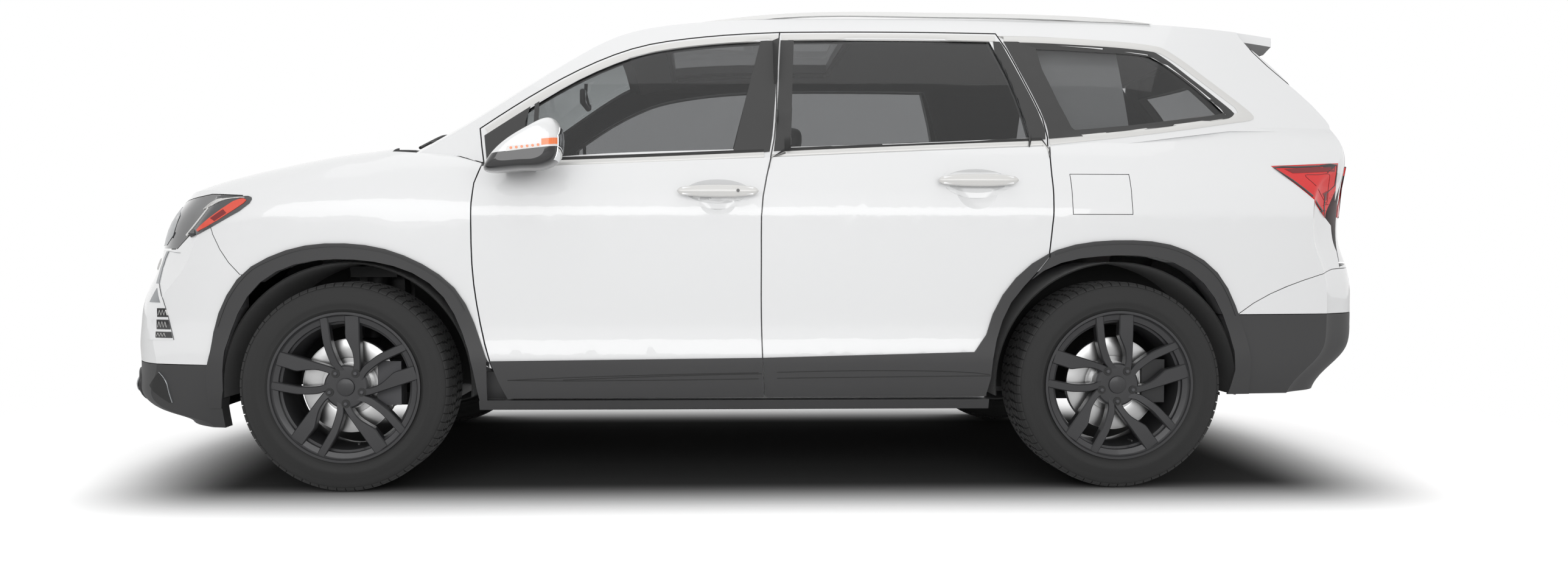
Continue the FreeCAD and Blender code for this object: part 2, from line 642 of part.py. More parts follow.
def grille_space(shrink):
    """Opening of the grille seen from the front."""
    w = shrink
    corners = [(-545 + w, 950 - w), (545 - w, 950 - w), (600 - w, 800), (520 - w, 545 + w),
               (-520 + w, 545 + w), (-600 + w, 800)]
    points = [V(-2700, y, z) for y, z in corners]
    return Part.Face(Part.makePolygon(points + [points[0]])).extrude(V(700, 0, 0))


def headlamps():
    """Both headlamps."""
    core = body_shape(0.0).common(prism(LAMP_FACE, -1300, -563)).cut(body_shape(BUMPER_DEPTH))
    foot = body_shape(45.0).common(prism(grown(LAMP_FACE, LAMP_GAP - SEAT_GAP), -1300, -563))
    foot = foot.cut(body_shape(BUMPER_DEPTH)).common(block(-2700, -1880, -1300, 0, 700, 1062))
    top = high_prism(grow_plan(HOOD_PLAN, SHUT_GAP), HOOD_LOW - SHUT_GAP)
    return both(core.fuse(foot).cut(top).cut(grille_space(0.0)))


def front_bumper_lower():
    """Dark lower front bumper with the air dam."""
    wall = bumper_wall(225, 457, BUMPER_DEPTH)
    arch = arch_space(FRONT_ARCH_FACE, FRONT_X, 450.0)
    return wall.cut(arch).cut(mirrored(arch))


def grille():
    """Grille insert with its cross bars."""
    space = grille_space(SEAT_GAP)
    core = body_shape(34.0).common(space).cut(body_shape(54.0))
    for z in (600, 660, 720):
        bar = body_shape(12.0).common(space).common(block(-2700, -2000, -700, 700, z, z + 20))
        core = core.fuse(bar.cut(body_shape(36.0)))
    return core


def windscreen():
    """Laminated windscreen."""
    return roof_slab(plan_face(SCREEN_PLAN), 4.0, GLASS_THICK)


def roof_panel():
    """Roof between the side rails with its opening for the glass panel."""
    half = ROOF_HALF
    ends = plan_face([(-450, -half), (2000, -half), (2000, half), (-450, half)])
    hole = plan_face(SUNROOF_PLAN)
    return roof_slab(ends.cut(hole), 0.0, ROOF_DEPTH)


def fixed_glass():
    """Glass roof panel and both rear quarter windows."""
    roof = roof_slab(plan_face(SUNROOF_PLAN), 3.0, GLASS_THICK)
    side = side_slab(QUARTER_GLASS_FACE, 5.0, GLASS_THICK)
    return Part.makeCompound([roof, side, mirrored(side)])


def tail_region(x_shift):
    """Side outline of everything behind the tailgate's side seam."""
    run = [(x + x_shift, z) for x, z in TAILGATE_SIDE]
    return outline([run, [run[-1], (2800, run[-1][1])], [(2800, run[-1][1]), (2800, 1860)],
                    [(2800, 1860), run[0]]])


def tailgate():
    """Tailgate with its window frame and roof spoiler."""
    face = tail_region(HALF_GAP)
    low = body_shape(0.0).common(prism(face, -1300, 1300)).cut(body_shape(70.0))
    low = low.common(block(2000, 2700, -1300, 1300, 832, 1260))
    side = glass_sheet(0.0).extrude(V(0, 1600, 0))
    cabin = side.common(mirrored(side)).common(under_roof(0.0)).common(tail_block(0.0))
    upper = cabin.common(prism(face, -1300, 1300)).common(block(1900, 2700, -1300, 1300, 1225, 1900))
    upper = upper.cut(tail_block(50.0).common(under_roof(40.0)))
    spoiler = roof_slab(plan_face(SPOILER_PLAN), 0.0, 34.0)
    plate = block(PLATE_X, 2700, -PLATE_WIDTH / 2.0, PLATE_WIDTH / 2.0, PLATE_Z - PLATE_HEIGHT / 2.0,
                  PLATE_Z + PLATE_HEIGHT / 2.0)
    return low.cut(plate).fuse(upper.cut(tail_window())).fuse(spoiler)


def tail_window():
    """Space of the rear window seen from behind."""
    corners = [V(2000, -610, 1262), V(2000, 610, 1262), V(2000, 520, 1640), V(2000, -520, 1640)]
    face = Part.Face(Part.makePolygon(corners + [corners[0]]))
    return face.extrude(V(700, 0, 0))


def tailgate_glass():
    """Rear window."""
    pane = end_block(TAIL_LINE, TAIL_SWEEP, 6.0, -GLASS_THICK)
    return pane.common(tail_window())


def rear_bumper():
    """Painted rear bumper."""
    core = body_shape(0.0).common(block(1800, 2700, -1100, 1100, 640, 827)).cut(body_shape(BUMPER_DEPTH))
    face = outline([QUARTER_REAR, [(2700, 829), (2700, 1000)], [(2700, 1000), (1700, 1000)],
                    [(1700, 1000), (1700, 640)], [(1700, 640), (1855, 640)]])
    core = core.cut(prism(grown(face, HALF_GAP), -1300, 1300))
    quarter = prism(grown(quarter_face(), HALF_GAP), -1300, 1300)
    core = core.cut(quarter.cut(prism(tail_region(0.0), -1400, 1400)))
    arch = arch_space(REAR_ARCH_FACE, REAR_X, 600.0)
    return core.cut(arch).cut(mirrored(arch))


def rear_bumper_lower():
    """Dark lower rear bumper."""
    core = body_shape(0.0).common(block(1800, 2700, -1100, 1100, 345, 637)).cut(body_shape(BUMPER_DEPTH))
    arch = arch_space(REAR_ARCH_FACE, REAR_X, 600.0).fuse(side_part(REAR_CLAD_FACE, -20.0, 20.0))
    return core.cut(arch).cut(mirrored(arch))


def cladding():
    """Dark arch and sill mouldings on the left side."""
    front_face = outline([CLAD_FRONT, [(-895, 481), (-895, 300)], [(-895, 300), (-1915, 300)],
                          [(-1915, 300), (-1915, 440)]])
    front_face = front_face.cut(FRONT_ARCH_FACE).cut(grown(FRONT_DOOR_FACE, HALF_GAP))
    rear_face = REAR_CLAD_FACE.cut(REAR_ARCH_FACE).cut(grown(REAR_DOOR_FACE, HALF_GAP))
    rear_face = rear_face.cut(polygon([(860, 300), (1000, 300), (1000, 480), (860, 480)]))
    body = body_shape(0.0).copy()
    body.translate(V(0, -SEAT_GAP, 0))
    front = wide_part(front_face, CLADDING, CLADDING + BED_DEPTH).cut(body)
    rear = side_part(rear_face, -CLADDING, CLADDING - SEAT_GAP)
    deep = CLADDING + SKIN + SILL_DEPTH
    sill = side_part(polygon([(-925, 305), (925, 305), (925, 333), (-925, 333)]), -CLADDING, deep - SEAT_GAP)
    lip = side_part(polygon([(-925, 298), (925, 298), (925, 306), (-925, 306)]), -CLADDING, deep - LIP_BACK)
    return front, rear, sill.fuse(lip)


def wide_part(face, outward, depth):
    """Left-hand moulding on the side surface from nose to tail."""
    grid = []
    for x in STATIONS[3:]:
        grid.append([V(x, -(HALF_WIDTH(x) + SIDE_BULGE(z) + outward), z) for z in SIDE_LEVELS[:14]])
    return surface(grid).extrude(V(0, depth, 0)).common(prism(face, -1300.0, -400.0))


def door_cladding(face):
    """Dark lower door moulding, with the piece of arch moulding that the rear door carries."""
    strip = polygon([(-1000, 200), (1300, 200), (1300, 508), (869, 506), (94, 487), (-888, 476),
                     (-1000, 476)])
    arch = outline([CLAD_REAR[:6], [(1145, 867), (1145, 300)], [(1145, 300), (869, 300)],
                    [(869, 300), (869, 506)]])
    low = grown(face, -HALF_GAP).common(strip.fuse(arch))
    return side_part(low.removeSplitter(), -CLADDING, CLADDING - SEAT_GAP)


def bar_y(radius, x, z, a, b):
    """Round bar across the car between two widths in either order."""
    return cylinder_y(radius, x, z, min(a, b), max(a, b))


def slab(x0, x1, a, b, z0, z1):
    """Box whose two widths may be in either order."""
    return block(x0, x1, min(a, b), max(a, b), z0, z1)


def tyre(x, y, side):
    """Tyre with a rounded tread and hollow inside, outer face towards side."""
    half = TYRE_WIDTH / 2.0
    bead = RIM_WIDTH / 2.0 - RIM_LIP - SEAT_GAP
    profile = [(TYRE_BEAD_RADIUS, -bead), (RIM_RADIUS + 2, -bead),
               (RIM_RADIUS + 8, -0.93 * half),
               (0.86 * TYRE_RADIUS, -half), (0.95 * TYRE_RADIUS, -0.93 * half),
               (0.99 * TYRE_RADIUS, -0.76 * half), (TYRE_RADIUS, -0.5 * half),
               (TYRE_RADIUS, 0.5 * half), (0.99 * TYRE_RADIUS, 0.76 * half),
               (0.95 * TYRE_RADIUS, 0.93 * half), (0.86 * TYRE_RADIUS, half),
               (RIM_RADIUS + 8, 0.93 * half), (RIM_RADIUS + 2, bead),
               (TYRE_BEAD_RADIUS, bead),
               (TYRE_BEAD_RADIUS, 0.74 * half), (RIM_RADIUS + 4, 0.80 * half),
               (0.86 * TYRE_RADIUS, 0.86 * half), (0.94 * TYRE_RADIUS, 0.72 * half),
               (0.94 * TYRE_RADIUS, -0.72 * half), (0.86 * TYRE_RADIUS, -0.86 * half),
               (RIM_RADIUS + 4, -0.80 * half), (TYRE_BEAD_RADIUS, -0.74 * half)]
    points = [V(r, w, 0) for r, w in profile]
    ring = Part.Face(Part.makePolygon(points + [points[0]])).revolve(V(0, 0, 0), V(0, 1, 0), 360)
    ring.translate(V(x, y, TYRE_RADIUS))
    return ring


def spoke(path, low, high):
    """One curved spoke from a centre line of (across, out, width) points."""
    left = []
    right = []
    for i, (u, w, width) in enumerate(path):
        a = path[max(i - 1, 0)]
        b = path[min(i + 1, len(path) - 1)]
        length = math.hypot(b[0] - a[0], b[1] - a[1])
        nu, nw = (b[1] - a[1]) / length, -(b[0] - a[0]) / length
        left.append(V(u + nu * width / 2.0, low, w + nw * width / 2.0))
        right.append(V(u - nu * width / 2.0, low, w - nw * width / 2.0))
    points = left + right[::-1]
    return Part.Face(Part.makePolygon(points + [points[0]])).extrude(V(0, high - low, 0))


def rim(x, y, side):
    """Cast wheel with paired curved spokes, one narrow and one wide."""
    half = RIM_WIDTH / 2.0
    barrel = tube_y(RIM_BARREL, RIM_BARREL - RIM_WALL, 0, 0, -half, half)
    for edge in (-half, half - RIM_LIP):
        barrel = barrel.fuse(tube_y(RIM_RADIUS, RIM_BARREL - RIM_WALL - 1.0, 0, 0, edge, edge + RIM_LIP))
    face_y = side * (half - 16.0)
    back_y = face_y - side * SPOKE_DEPTH
    low, high = min(face_y, back_y), max(face_y, back_y)
    hub_low, hub_high = min(face_y, back_y - side * 6.0), max(face_y, back_y - side * 6.0)
    hub = cylinder_y(HUB_RADIUS, 0, 0, hub_low, hub_high)
    reach = RIM_BARREL - 3.0
    narrow = spoke([(-16, 48, 24), (-34, 110, 25), (-50, 160, 28), (-70, reach, 34)], low, high)
    wide = spoke([(40, 50, 28), (44, 110, 34), (38, 165, 44), (27, reach, 56)], low, high)
    for k in range(SPOKE_PAIRS):
        for blade in (narrow, wide):
            turned = blade.copy()
            turned.rotate(V(0, 0, 0), V(0, 1, 0), 360.0 / SPOKE_PAIRS * k)
            hub = hub.fuse(turned)
    hub = hub.common(cylinder_y(RIM_BARREL - RIM_WALL + 3.0, 0, 0, hub_low - 1, hub_high + 1))
    for k in range(STUD_COUNT):
        angle = math.radians(90.0 + 360.0 / STUD_COUNT * k)
        hub = hub.cut(cylinder_y(STUD_RADIUS, STUD_CIRCLE * math.cos(angle),
                                 STUD_CIRCLE * math.sin(angle), hub_low - 1, hub_high + 1))
    wheel = barrel.fuse(hub)
    wheel.translate(V(x, y, TYRE_RADIUS))
    return wheel


def brake_disc(x, y, side):
    """Brake disc with its hat bolted behind the wheel centre."""
    face_y = side * (RIM_WIDTH / 2.0 - 22.0 - SPOKE_DEPTH)
    hat_end = face_y - side * 46.0
    hat = tube_y(DISC_HAT_RADIUS, 34.0, 0, 0, min(face_y, hat_end), max(face_y, hat_end))
    disc_end = hat_end + side * DISC_THICK
    disc = tube_y(DISC_RADIUS, 34.0, 0, 0, min(disc_end, hat_end), max(disc_end, hat_end))
    part = hat.fuse(disc)
    part.translate(V(x, y, TYRE_RADIUS))
    return part


def knuckle(x, side, steered):
    """Hub carrier with its stub axle and brake caliper."""
    y = side * TRACK / 2.0
    face_y = y + side * (RIM_WIDTH / 2.0 - 22.0 - SPOKE_DEPTH)
    disc_back = face_y - side * 46.0
    inner_y = side * (PIVOT_Y - 14.0)
    stub = bar_y(33.0, x, TYRE_RADIUS, face_y, inner_y)
    carrier = slab(x - 50, x + 50, inner_y, disc_back - side * 6, TYRE_RADIUS - 92, TYRE_RADIUS + 110)
    caliper = slab(x + 105, x + 190, disc_back - side * 30, disc_back + side * 44,
                   TYRE_RADIUS - 70, TYRE_RADIUS + 90)
    caliper = caliper.cut(bar_y(DISC_RADIUS + 5.0, x, TYRE_RADIUS, disc_back - side * 5,
                                disc_back + side * (DISC_THICK + 5)))
    arm = slab(x + 20, x + 130, inner_y, disc_back - side * 6, TYRE_RADIUS - 40, TYRE_RADIUS + 40)
    part = stub.fuse(carrier).fuse(arm).fuse(caliper)
    if steered:
        pin = Part.makeCylinder(BALL_PIN, 320, V(x, side * PIVOT_Y, LOWER_ARM_Z - 4))
        part = part.fuse(pin)
    return part


def wheel_liners():
    """Arch liners over the four wheels."""
    pieces = []
    for x, inner_y, end_y in ((FRONT_X, -485.0, -912.0), (REAR_X, -645.0, -925.0)):
        shell = tube_y(ARCH_RADIUS, ARCH_RADIUS - LINER_WALL, x, TYRE_RADIUS, end_y, inner_y)
        wall = cylinder_y(ARCH_RADIUS, x, TYRE_RADIUS, inner_y, inner_y + LINER_WALL)
        part = shell.fuse(wall).common(block(x - 600, x + 600, -1000, 0, TYRE_RADIUS - 40, 1000))
        part = part.cut(block(FRONT_X - 130, FRONT_X + 130, -500, -470, 300, 815))
        pieces += [part, mirrored(part)]
    return Part.makeCompound(pieces)


def floor_pan():
    """Floor from the bulkhead to the rear bumper, with its sill boxes and fuel tank."""
    pan = block(-1040, 1860, -800, 800, 322, 352)
    rear = block(1850, 2500, -780, 780, 410, 440).common(tail_block(BUMPER_DEPTH + SEAT_GAP))
    pan = pan.fuse(rear).fuse(block(1850, 1862, -780, 780, 322, 440))
    for x, reach in ((FRONT_X, 480.0), (REAR_X, 640.0)):
        for y in (-1000.0, reach):
            pan = pan.cut(cylinder_y(ARCH_RADIUS + SEAT_GAP, x, TYRE_RADIUS, y, y + 1000.0 - reach))
    sill_box = block(-930, 930, -800, -760, 322, 440)
    tank = block(330, 980, -620, -60, 250, 323)
    return pan.fuse(sill_box).fuse(mirrored(sill_box)).fuse(tank)


def firewall():
    """Bulkhead with the cowl plate under the windscreen and the hood's hinge arms."""
    wall = block(-1052, -1040, -770, 770, 330, 1150)
    cowl = block(-1262, -1040, -770, 770, 1130, 1150)
    arm = block(-1425, -1255, -620, -570, 1130, 1160).fuse(block(-1425, -1375, -620, -570, 1130, 1320))
    arm = arm.common(raw_loft(HOOD_DEPTH + SEAT_GAP))
    wells = cylinder_y(ARCH_RADIUS + SEAT_GAP, FRONT_X, TYRE_RADIUS, 480.0, 1000.0)
    wall = wall.cut(wells).cut(mirrored(wells))
    return wall.fuse(cowl).fuse(arm).fuse(mirrored(arm))


def engine_block():
    """Engine and gearbox as one plain block."""
    return block(-1700, -1160, -330, 330, 330, 960)


def arm_plate(x, side, z, root_y, width):
    """Suspension arm from its root to the ball joint, with a bore for the ball pin."""
    plate = slab(x - width, x + width, side * root_y, side * (PIVOT_Y - 16.0), z, z + ARM_THICK)
    plate = plate.fuse(Part.makeCylinder(20.0, ARM_THICK, V(x, side * PIVOT_Y, z)))
    return plate.cut(Part.makeCylinder(BALL_PIN + SEAT_GAP, ARM_THICK + 2, V(x, side * PIVOT_Y, z - 1)))


def front_suspension():
    """Front subframe with arms, coil struts, drive shafts and the body rails they hang on."""
    parts = block(-1640, -1180, -380, 380, 240, 290)
    for side in (-1.0, 1.0):
        parts = parts.fuse(arm_plate(FRONT_X, side, LOWER_ARM_Z, 370.0, 40.0))
        parts = parts.fuse(arm_plate(FRONT_X, side, UPPER_ARM_Z, 440.0, 30.0))
        parts = parts.fuse(slab(-2250, -1052 - SEAT_GAP, side * 400, side * 455, 430, 560))
        parts = parts.fuse(slab(-1640, -1560, side * 330, side * 420, 250, 560))
        spring = Part.makeCylinder(44.0, 560, V(FRONT_X, side * 640, LOWER_ARM_Z + 10), V(0, -side * 0.24, 1))
        parts = parts.fuse(spring)
        parts = parts.fuse(slab(FRONT_X - 90, FRONT_X + 90, side * 400, side * 480, 540, 812))
        parts = parts.fuse(slab(FRONT_X - 90, FRONT_X + 90, side * 400, side * 590, 772, 812))
        parts = parts.fuse(bar_y(14.0, FRONT_X, TYRE_RADIUS, side * (330 + SEAT_GAP), side * 770))
    return parts


def rear_suspension():
    """Rear subframe, arms, springs and hub carriers."""
    parts = block(1230, 1600, -420, 420, 262, 322 - SEAT_GAP)
    tunnel = Part.makeCylinder(PIPE_RADIUS + 2.0, 400, V(1220, PIPE_Y, PIPE_Z), V(1, 0, 0))
    parts = parts.cut(tunnel.fuse(block(1220, 1620, PIPE_Y - PIPE_RADIUS - 2.0, PIPE_Y + PIPE_RADIUS + 2.0,
                                        250, PIPE_Z)))
    for side in (-1.0, 1.0):
        parts = parts.fuse(slab(REAR_X - 45, REAR_X + 45, side * 400, side * 820, 290, 318))
        parts = parts.fuse(knuckle(REAR_X, side, False))
    return parts


def exhaust():
    """Exhaust pipe and rear silencer."""
    pipe = Part.makeCylinder(PIPE_RADIUS, 3100, V(-1180, PIPE_Y, PIPE_Z), V(1, 0, 0))
    down = block(-1180, -1120, PIPE_Y - 30, PIPE_Y + 30, PIPE_Z, 330 - SEAT_GAP)
    rise = block(1880, 1960, PIPE_Y - 60, PIPE_Y + 60, 266, 345)
    box = block(1900, 2220, -380, 380, 320, 410 - SEAT_GAP)
    return pipe.fuse(down).fuse(rise).fuse(box)


def seat(x, y, width, height, back_lean=14.0):
    """Seat with cushion, back and head restraint."""
    cushion = block(x, x + 500, y - width / 2, y + width / 2, 560, 690)
    base = block(x + 60, x + 420, y - width / 2 + 60, y + width / 2 - 60, 352, 565)
    back = Part.makeBox(110, width, height, V(x + 440, y - width / 2, 640))
    back.rotate(V(x + 440, y, 640), V(0, 1, 0), back_lean)
    rest = Part.makeBox(80, 260, 190, V(x + 455, y - 130, 640 + height - 8))
    rest.rotate(V(x + 440, y, 640), V(0, 1, 0), back_lean)
    return base.fuse(cushion).fuse(back).fuse(rest)


def front_seats():
    """Both front seats."""
    return both(seat(-420, -370, 520, 600))


def rear_seats():
    """Second row bench and third row pair."""
    bench = block(500, 1000, -640, 640, 580, 700)
    base = block(560, 960, -600, 600, 352, 585)
    back = Part.makeBox(110, 1280, 560, V(940, -640, 650))
    back.rotate(V(940, 0, 650), V(0, 1, 0), 16)
    row = bench.fuse(base).fuse(back)
    for y in (-420.0, 0.0, 420.0):
        rest = Part.makeBox(75, 230, 170, V(955, y - 115, 1204))
        rest.rotate(V(940, 0, 650), V(0, 1, 0), 16)
        row = row.fuse(rest)
    third = block(1460, 1900, -520, 520, 600, 700)
    third = third.fuse(block(1500, 1850 - SEAT_GAP, -480, 480, 352, 605))
    back3 = Part.makeBox(100, 1040, 480, V(1850, -520, 650))
    back3.rotate(V(1850, 0, 650), V(0, 1, 0), 14)
    third = third.fuse(back3)
    return Part.makeCompound([row, third])


def dashboard():
    """Dashboard and centre console."""
    top = block(-1040, -640, -760, 760, 860, 1080)
    console = block(-700, 150, -105, 105, 352, 640)
    link = block(-760, -640, -105, 105, 500, 870)
    column = Part.makeCylinder(32, WHEEL_REACH - WHEEL_HUB / 2.0 - SEAT_GAP, V(-640, -370, 960),
                               V(1, 0, 0.35))
    return top.fuse(console).fuse(link).fuse(column)


def steering_wheel():
    """Steering wheel square to its column."""
    axis = V(1, 0, 0.35)
    axis.normalize()
    centre = V(-640, -370, 960) + axis * WHEEL_REACH
    ring = Part.makeTorus(182, 15, centre, axis)
    hub = Part.makeCylinder(62, WHEEL_HUB, centre - axis * (WHEEL_HUB / 2.0), axis)
    for angle in (0, 180, 270):
        bar = Part.makeBox(130, 30, 18, V(50, -15, -9))
        bar.rotate(V(0, 0, 0), V(0, 0, 1), angle)
        bar.Placement = FreeCAD.Placement(centre, FreeCAD.Rotation(V(0, 0, 1), axis)).multiply(bar.Placement)
        hub = hub.fuse(bar)
    return ring.fuse(hub)


def mirror_pod():
    """Left door mirror: a rounded head on a short foot."""
    profile = [(-878, 1168), (-850, 1212), (-780, 1272), (-700, 1318), (-640, 1334), (-612, 1300),
               (-606, 1240), (-625, 1180), (-665, 1158), (-760, 1150)]
    mid_x, mid_z = -735.0, 1240.0
    rings = []
    for y, size in ((-985, 0.72), (-1010, 0.93), (-1070, 1.0), (-1125, 0.90), (-1150, 0.62)):
        points = [V(mid_x + (x - mid_x) * size, y, mid_z + (z - mid_z) * size) for x, z in profile]
        loop = Part.BSplineCurve()
        loop.interpolate(points, PeriodicFlag=True)
        rings.append(Part.Wire(loop.toShape()))
    head = Part.makeLoft(rings, True)
    foot = block(-830, -720, -1010, -872, 1158, 1192)
    seat = polygon([(-900, 1100), (-650, 1100), (-650, 1250), (-900, 1250)])
    return head.fuse(foot.cut(side_part(seat, -SEAT_GAP, 120.0)))


def roof_rails():
    """Both roof rails, raised on their feet."""
    top = [(-215, 1748), (-60, 1772), (150, 1795), (700, 1806), (1250, 1798), (1560, 1778), (1730, 1752)]
    low = [(1600, 1760), (1500, 1768), (1250, 1782), (700, 1790), (150, 1779), (60, 1768)]
    face = outline([top, [(1730, 1752), (1730, 1725)], [(1730, 1725), (1600, 1735)],
                    [(1600, 1735), (1600, 1760)], low, [(60, 1768), (60, 1748)],
                    [(60, 1748), (-215, 1735)], [(-215, 1735), (-215, 1748)]])
    return both(prism(face, -634, -606).cut(under_roof(-SEAT_GAP)))


def tail_lamps():
    """Both tail lamps."""
    face = polygon([(2000, 1190), (2286, 1205), (2284, 955), (2210, 1012)])
    return face


FLAP_FACE = polygon([(1224, 1004), (1447, 1004), (1447, 1155), (1224, 1155)])


def fuel_flap():
    """Fuel filler flap."""
    return side_part(grown(FLAP_FACE, -HALF_GAP), 0.0, FLAP_THICK)


def save(name, shape):
    """Write one piece, moved so that the origin is under the middle of the car."""
    piece = shape.copy()
    piece.translate(V(-CENTRE_X, 0, 0))
    piece.exportStep("parts/" + name + ".step")
    return piece


def main():
    """Build and write every piece."""
    os.makedirs("parts", exist_ok=True)
    lamp_face = tail_lamps()
    side_panel = body_side()
    side_panel = side_panel.cut(prism(grown(lamp_face, SEAT_GAP), -1300, -600))
    save("body_side_right", mirrored(side_panel))
    arm = side_part(polygon([(1252, 1060), (1266, 1060), (1266, 1100), (1252, 1100)]),
                    FLAP_THICK + SEAT_GAP, 24.0)
    save("body_side_left", side_panel.cut(side_part(FLAP_FACE, -4.0, 34.0)).fuse(arm))
    save("tail_lamps", both(side_part(lamp_face, 0.0, 60.0).common(tail_block(0.0))))
    save("fuel_flap", fuel_flap())
    save("hood", hood())
    save("cowl", cowl())
    save("front_fenders", front_fenders())
    save("front_bumper", front_bumper())
    save("front_bumper_lower", front_bumper_lower())
    save("grille", grille())
    save("headlamps", headlamps())
    save("windscreen", windscreen())
    save("roof_panel", roof_panel())
    save("fixed_glass", fixed_glass())
    save("tailgate", tailgate())
    save("tailgate_glass", tailgate_glass())
    save("rear_bumper", rear_bumper())
    save("rear_bumper_lower", rear_bumper_lower())
    front, rear, sill = cladding()
    save("body_cladding", Part.makeCompound([front, rear, sill, mirrored(front), mirrored(rear),
                                             mirrored(sill)]))
    for name, face, glass_face, handle_x, handle_z in (
            ("f", FRONT_DOOR_FACE, FRONT_GLASS_FACE, -64.0, 1087.0),
            ("r", REAR_DOOR_FACE, REAR_GLASS_FACE, 878.0, 1128.0)):
        leaf = door(face, glass_face, handle_x, handle_z)
        low = door_cladding(face)
        pane = side_slab(glass_face, 7.0, GLASS_THICK)
        for side, turn in (("l", lambda s: s), ("r", mirrored)):
            save("door_" + name + side, turn(leaf))
            save("door_" + name + side + "_cladding", turn(low))
            save("door_" + name + side + "_glass", turn(pane))
    pod = mirror_pod()
    save("mirror_left", pod)
    save("mirror_right", mirrored(pod))
    save("roof_rails", roof_rails())
    save("wheel_liners", wheel_liners())
    save("floor_pan", floor_pan())
    save("firewall", firewall())
    save("engine_block", engine_block())
    save("front_suspension", front_suspension())
    save("rear_suspension", rear_suspension())
    save("exhaust", exhaust())
    save("front_seats", front_seats())
    save("rear_seats", rear_seats())
    save("dashboard", dashboard())
    save("steering_wheel", steering_wheel())
    for name, x, side in (("fl", FRONT_X, -1.0), ("fr", FRONT_X, 1.0), ("rl", REAR_X, -1.0),
                          ("rr", REAR_X, 1.0)):
        y = side * TRACK / 2.0
        save("tyre_" + name, tyre(x, y, side))
        save("rim_" + name, rim(x, y, side))
        save("disc_" + name, brake_disc(x, y, side))
    save("knuckle_left", knuckle(FRONT_X, -1.0, True))
    save("knuckle_right", knuckle(FRONT_X, 1.0, True))


if __name__ == "__main__":
    main()
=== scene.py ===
"""Family SUV: finishes, wheels, lamps, glass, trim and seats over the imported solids.

Metres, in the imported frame: the nose points to -X and the car's left side to -Y.
Positions along X in the size fields are counted from MID, the middle of the wheelbase.
CORNERS holds each wheel's place and side, CABIN_MIDDLE the point that the lining faces,
DOUBLES the distance at which corners merge, CHANNEL the width of a sewn channel, BOX_FACES
the corners of a box's faces, and MOULDING the share and rise of a crowned section.
"""
import json
import logging
import math
from collections.abc import Callable, Sequence
from dataclasses import dataclass, field
from enum import Enum

import bmesh
import bpy
from mathutils import Matrix, Vector
from mathutils.bvhtree import BVHTree


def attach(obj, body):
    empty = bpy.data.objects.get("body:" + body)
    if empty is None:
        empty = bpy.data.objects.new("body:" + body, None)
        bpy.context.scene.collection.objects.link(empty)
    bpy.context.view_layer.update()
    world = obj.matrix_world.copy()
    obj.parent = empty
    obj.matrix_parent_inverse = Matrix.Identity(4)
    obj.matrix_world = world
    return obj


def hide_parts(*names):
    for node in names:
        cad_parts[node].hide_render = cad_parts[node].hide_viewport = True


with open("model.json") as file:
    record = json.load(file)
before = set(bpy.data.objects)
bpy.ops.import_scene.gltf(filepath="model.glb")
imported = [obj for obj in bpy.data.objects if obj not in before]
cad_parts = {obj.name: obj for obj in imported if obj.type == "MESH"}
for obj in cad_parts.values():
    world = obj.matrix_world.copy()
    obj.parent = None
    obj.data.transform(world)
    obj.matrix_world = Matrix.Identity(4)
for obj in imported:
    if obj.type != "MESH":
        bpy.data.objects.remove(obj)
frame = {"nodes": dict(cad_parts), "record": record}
log = logging.getLogger("suv")

MID = -0.078
CABIN_MIDDLE = (0.1, 0.0, 0.95)
DOUBLES = 1e-5
CHANNEL = 0.007
SIDES = {"left": -1.0, "right": 1.0}
CORNERS = {"fl": (-1.41, -1.0), "fr": (-1.41, 1.0), "rl": (1.41, -1.0), "rr": (1.41, 1.0)}
BOX_FACES = ((0, 1, 3, 2), (4, 6, 7, 5), (0, 4, 5, 1), (2, 3, 7, 6), (0, 2, 6, 4), (1, 5, 7, 3))
MOULDING = ((0.0, 0.0), (0.0, 0.55), (0.12, 0.9), (0.5, 1.0), (0.88, 0.9), (1.0, 0.55), (1.0, 0.0))
Point = tuple[float, float]
Triple = tuple[float, float, float]
Place = Callable[[float, float], Vector]


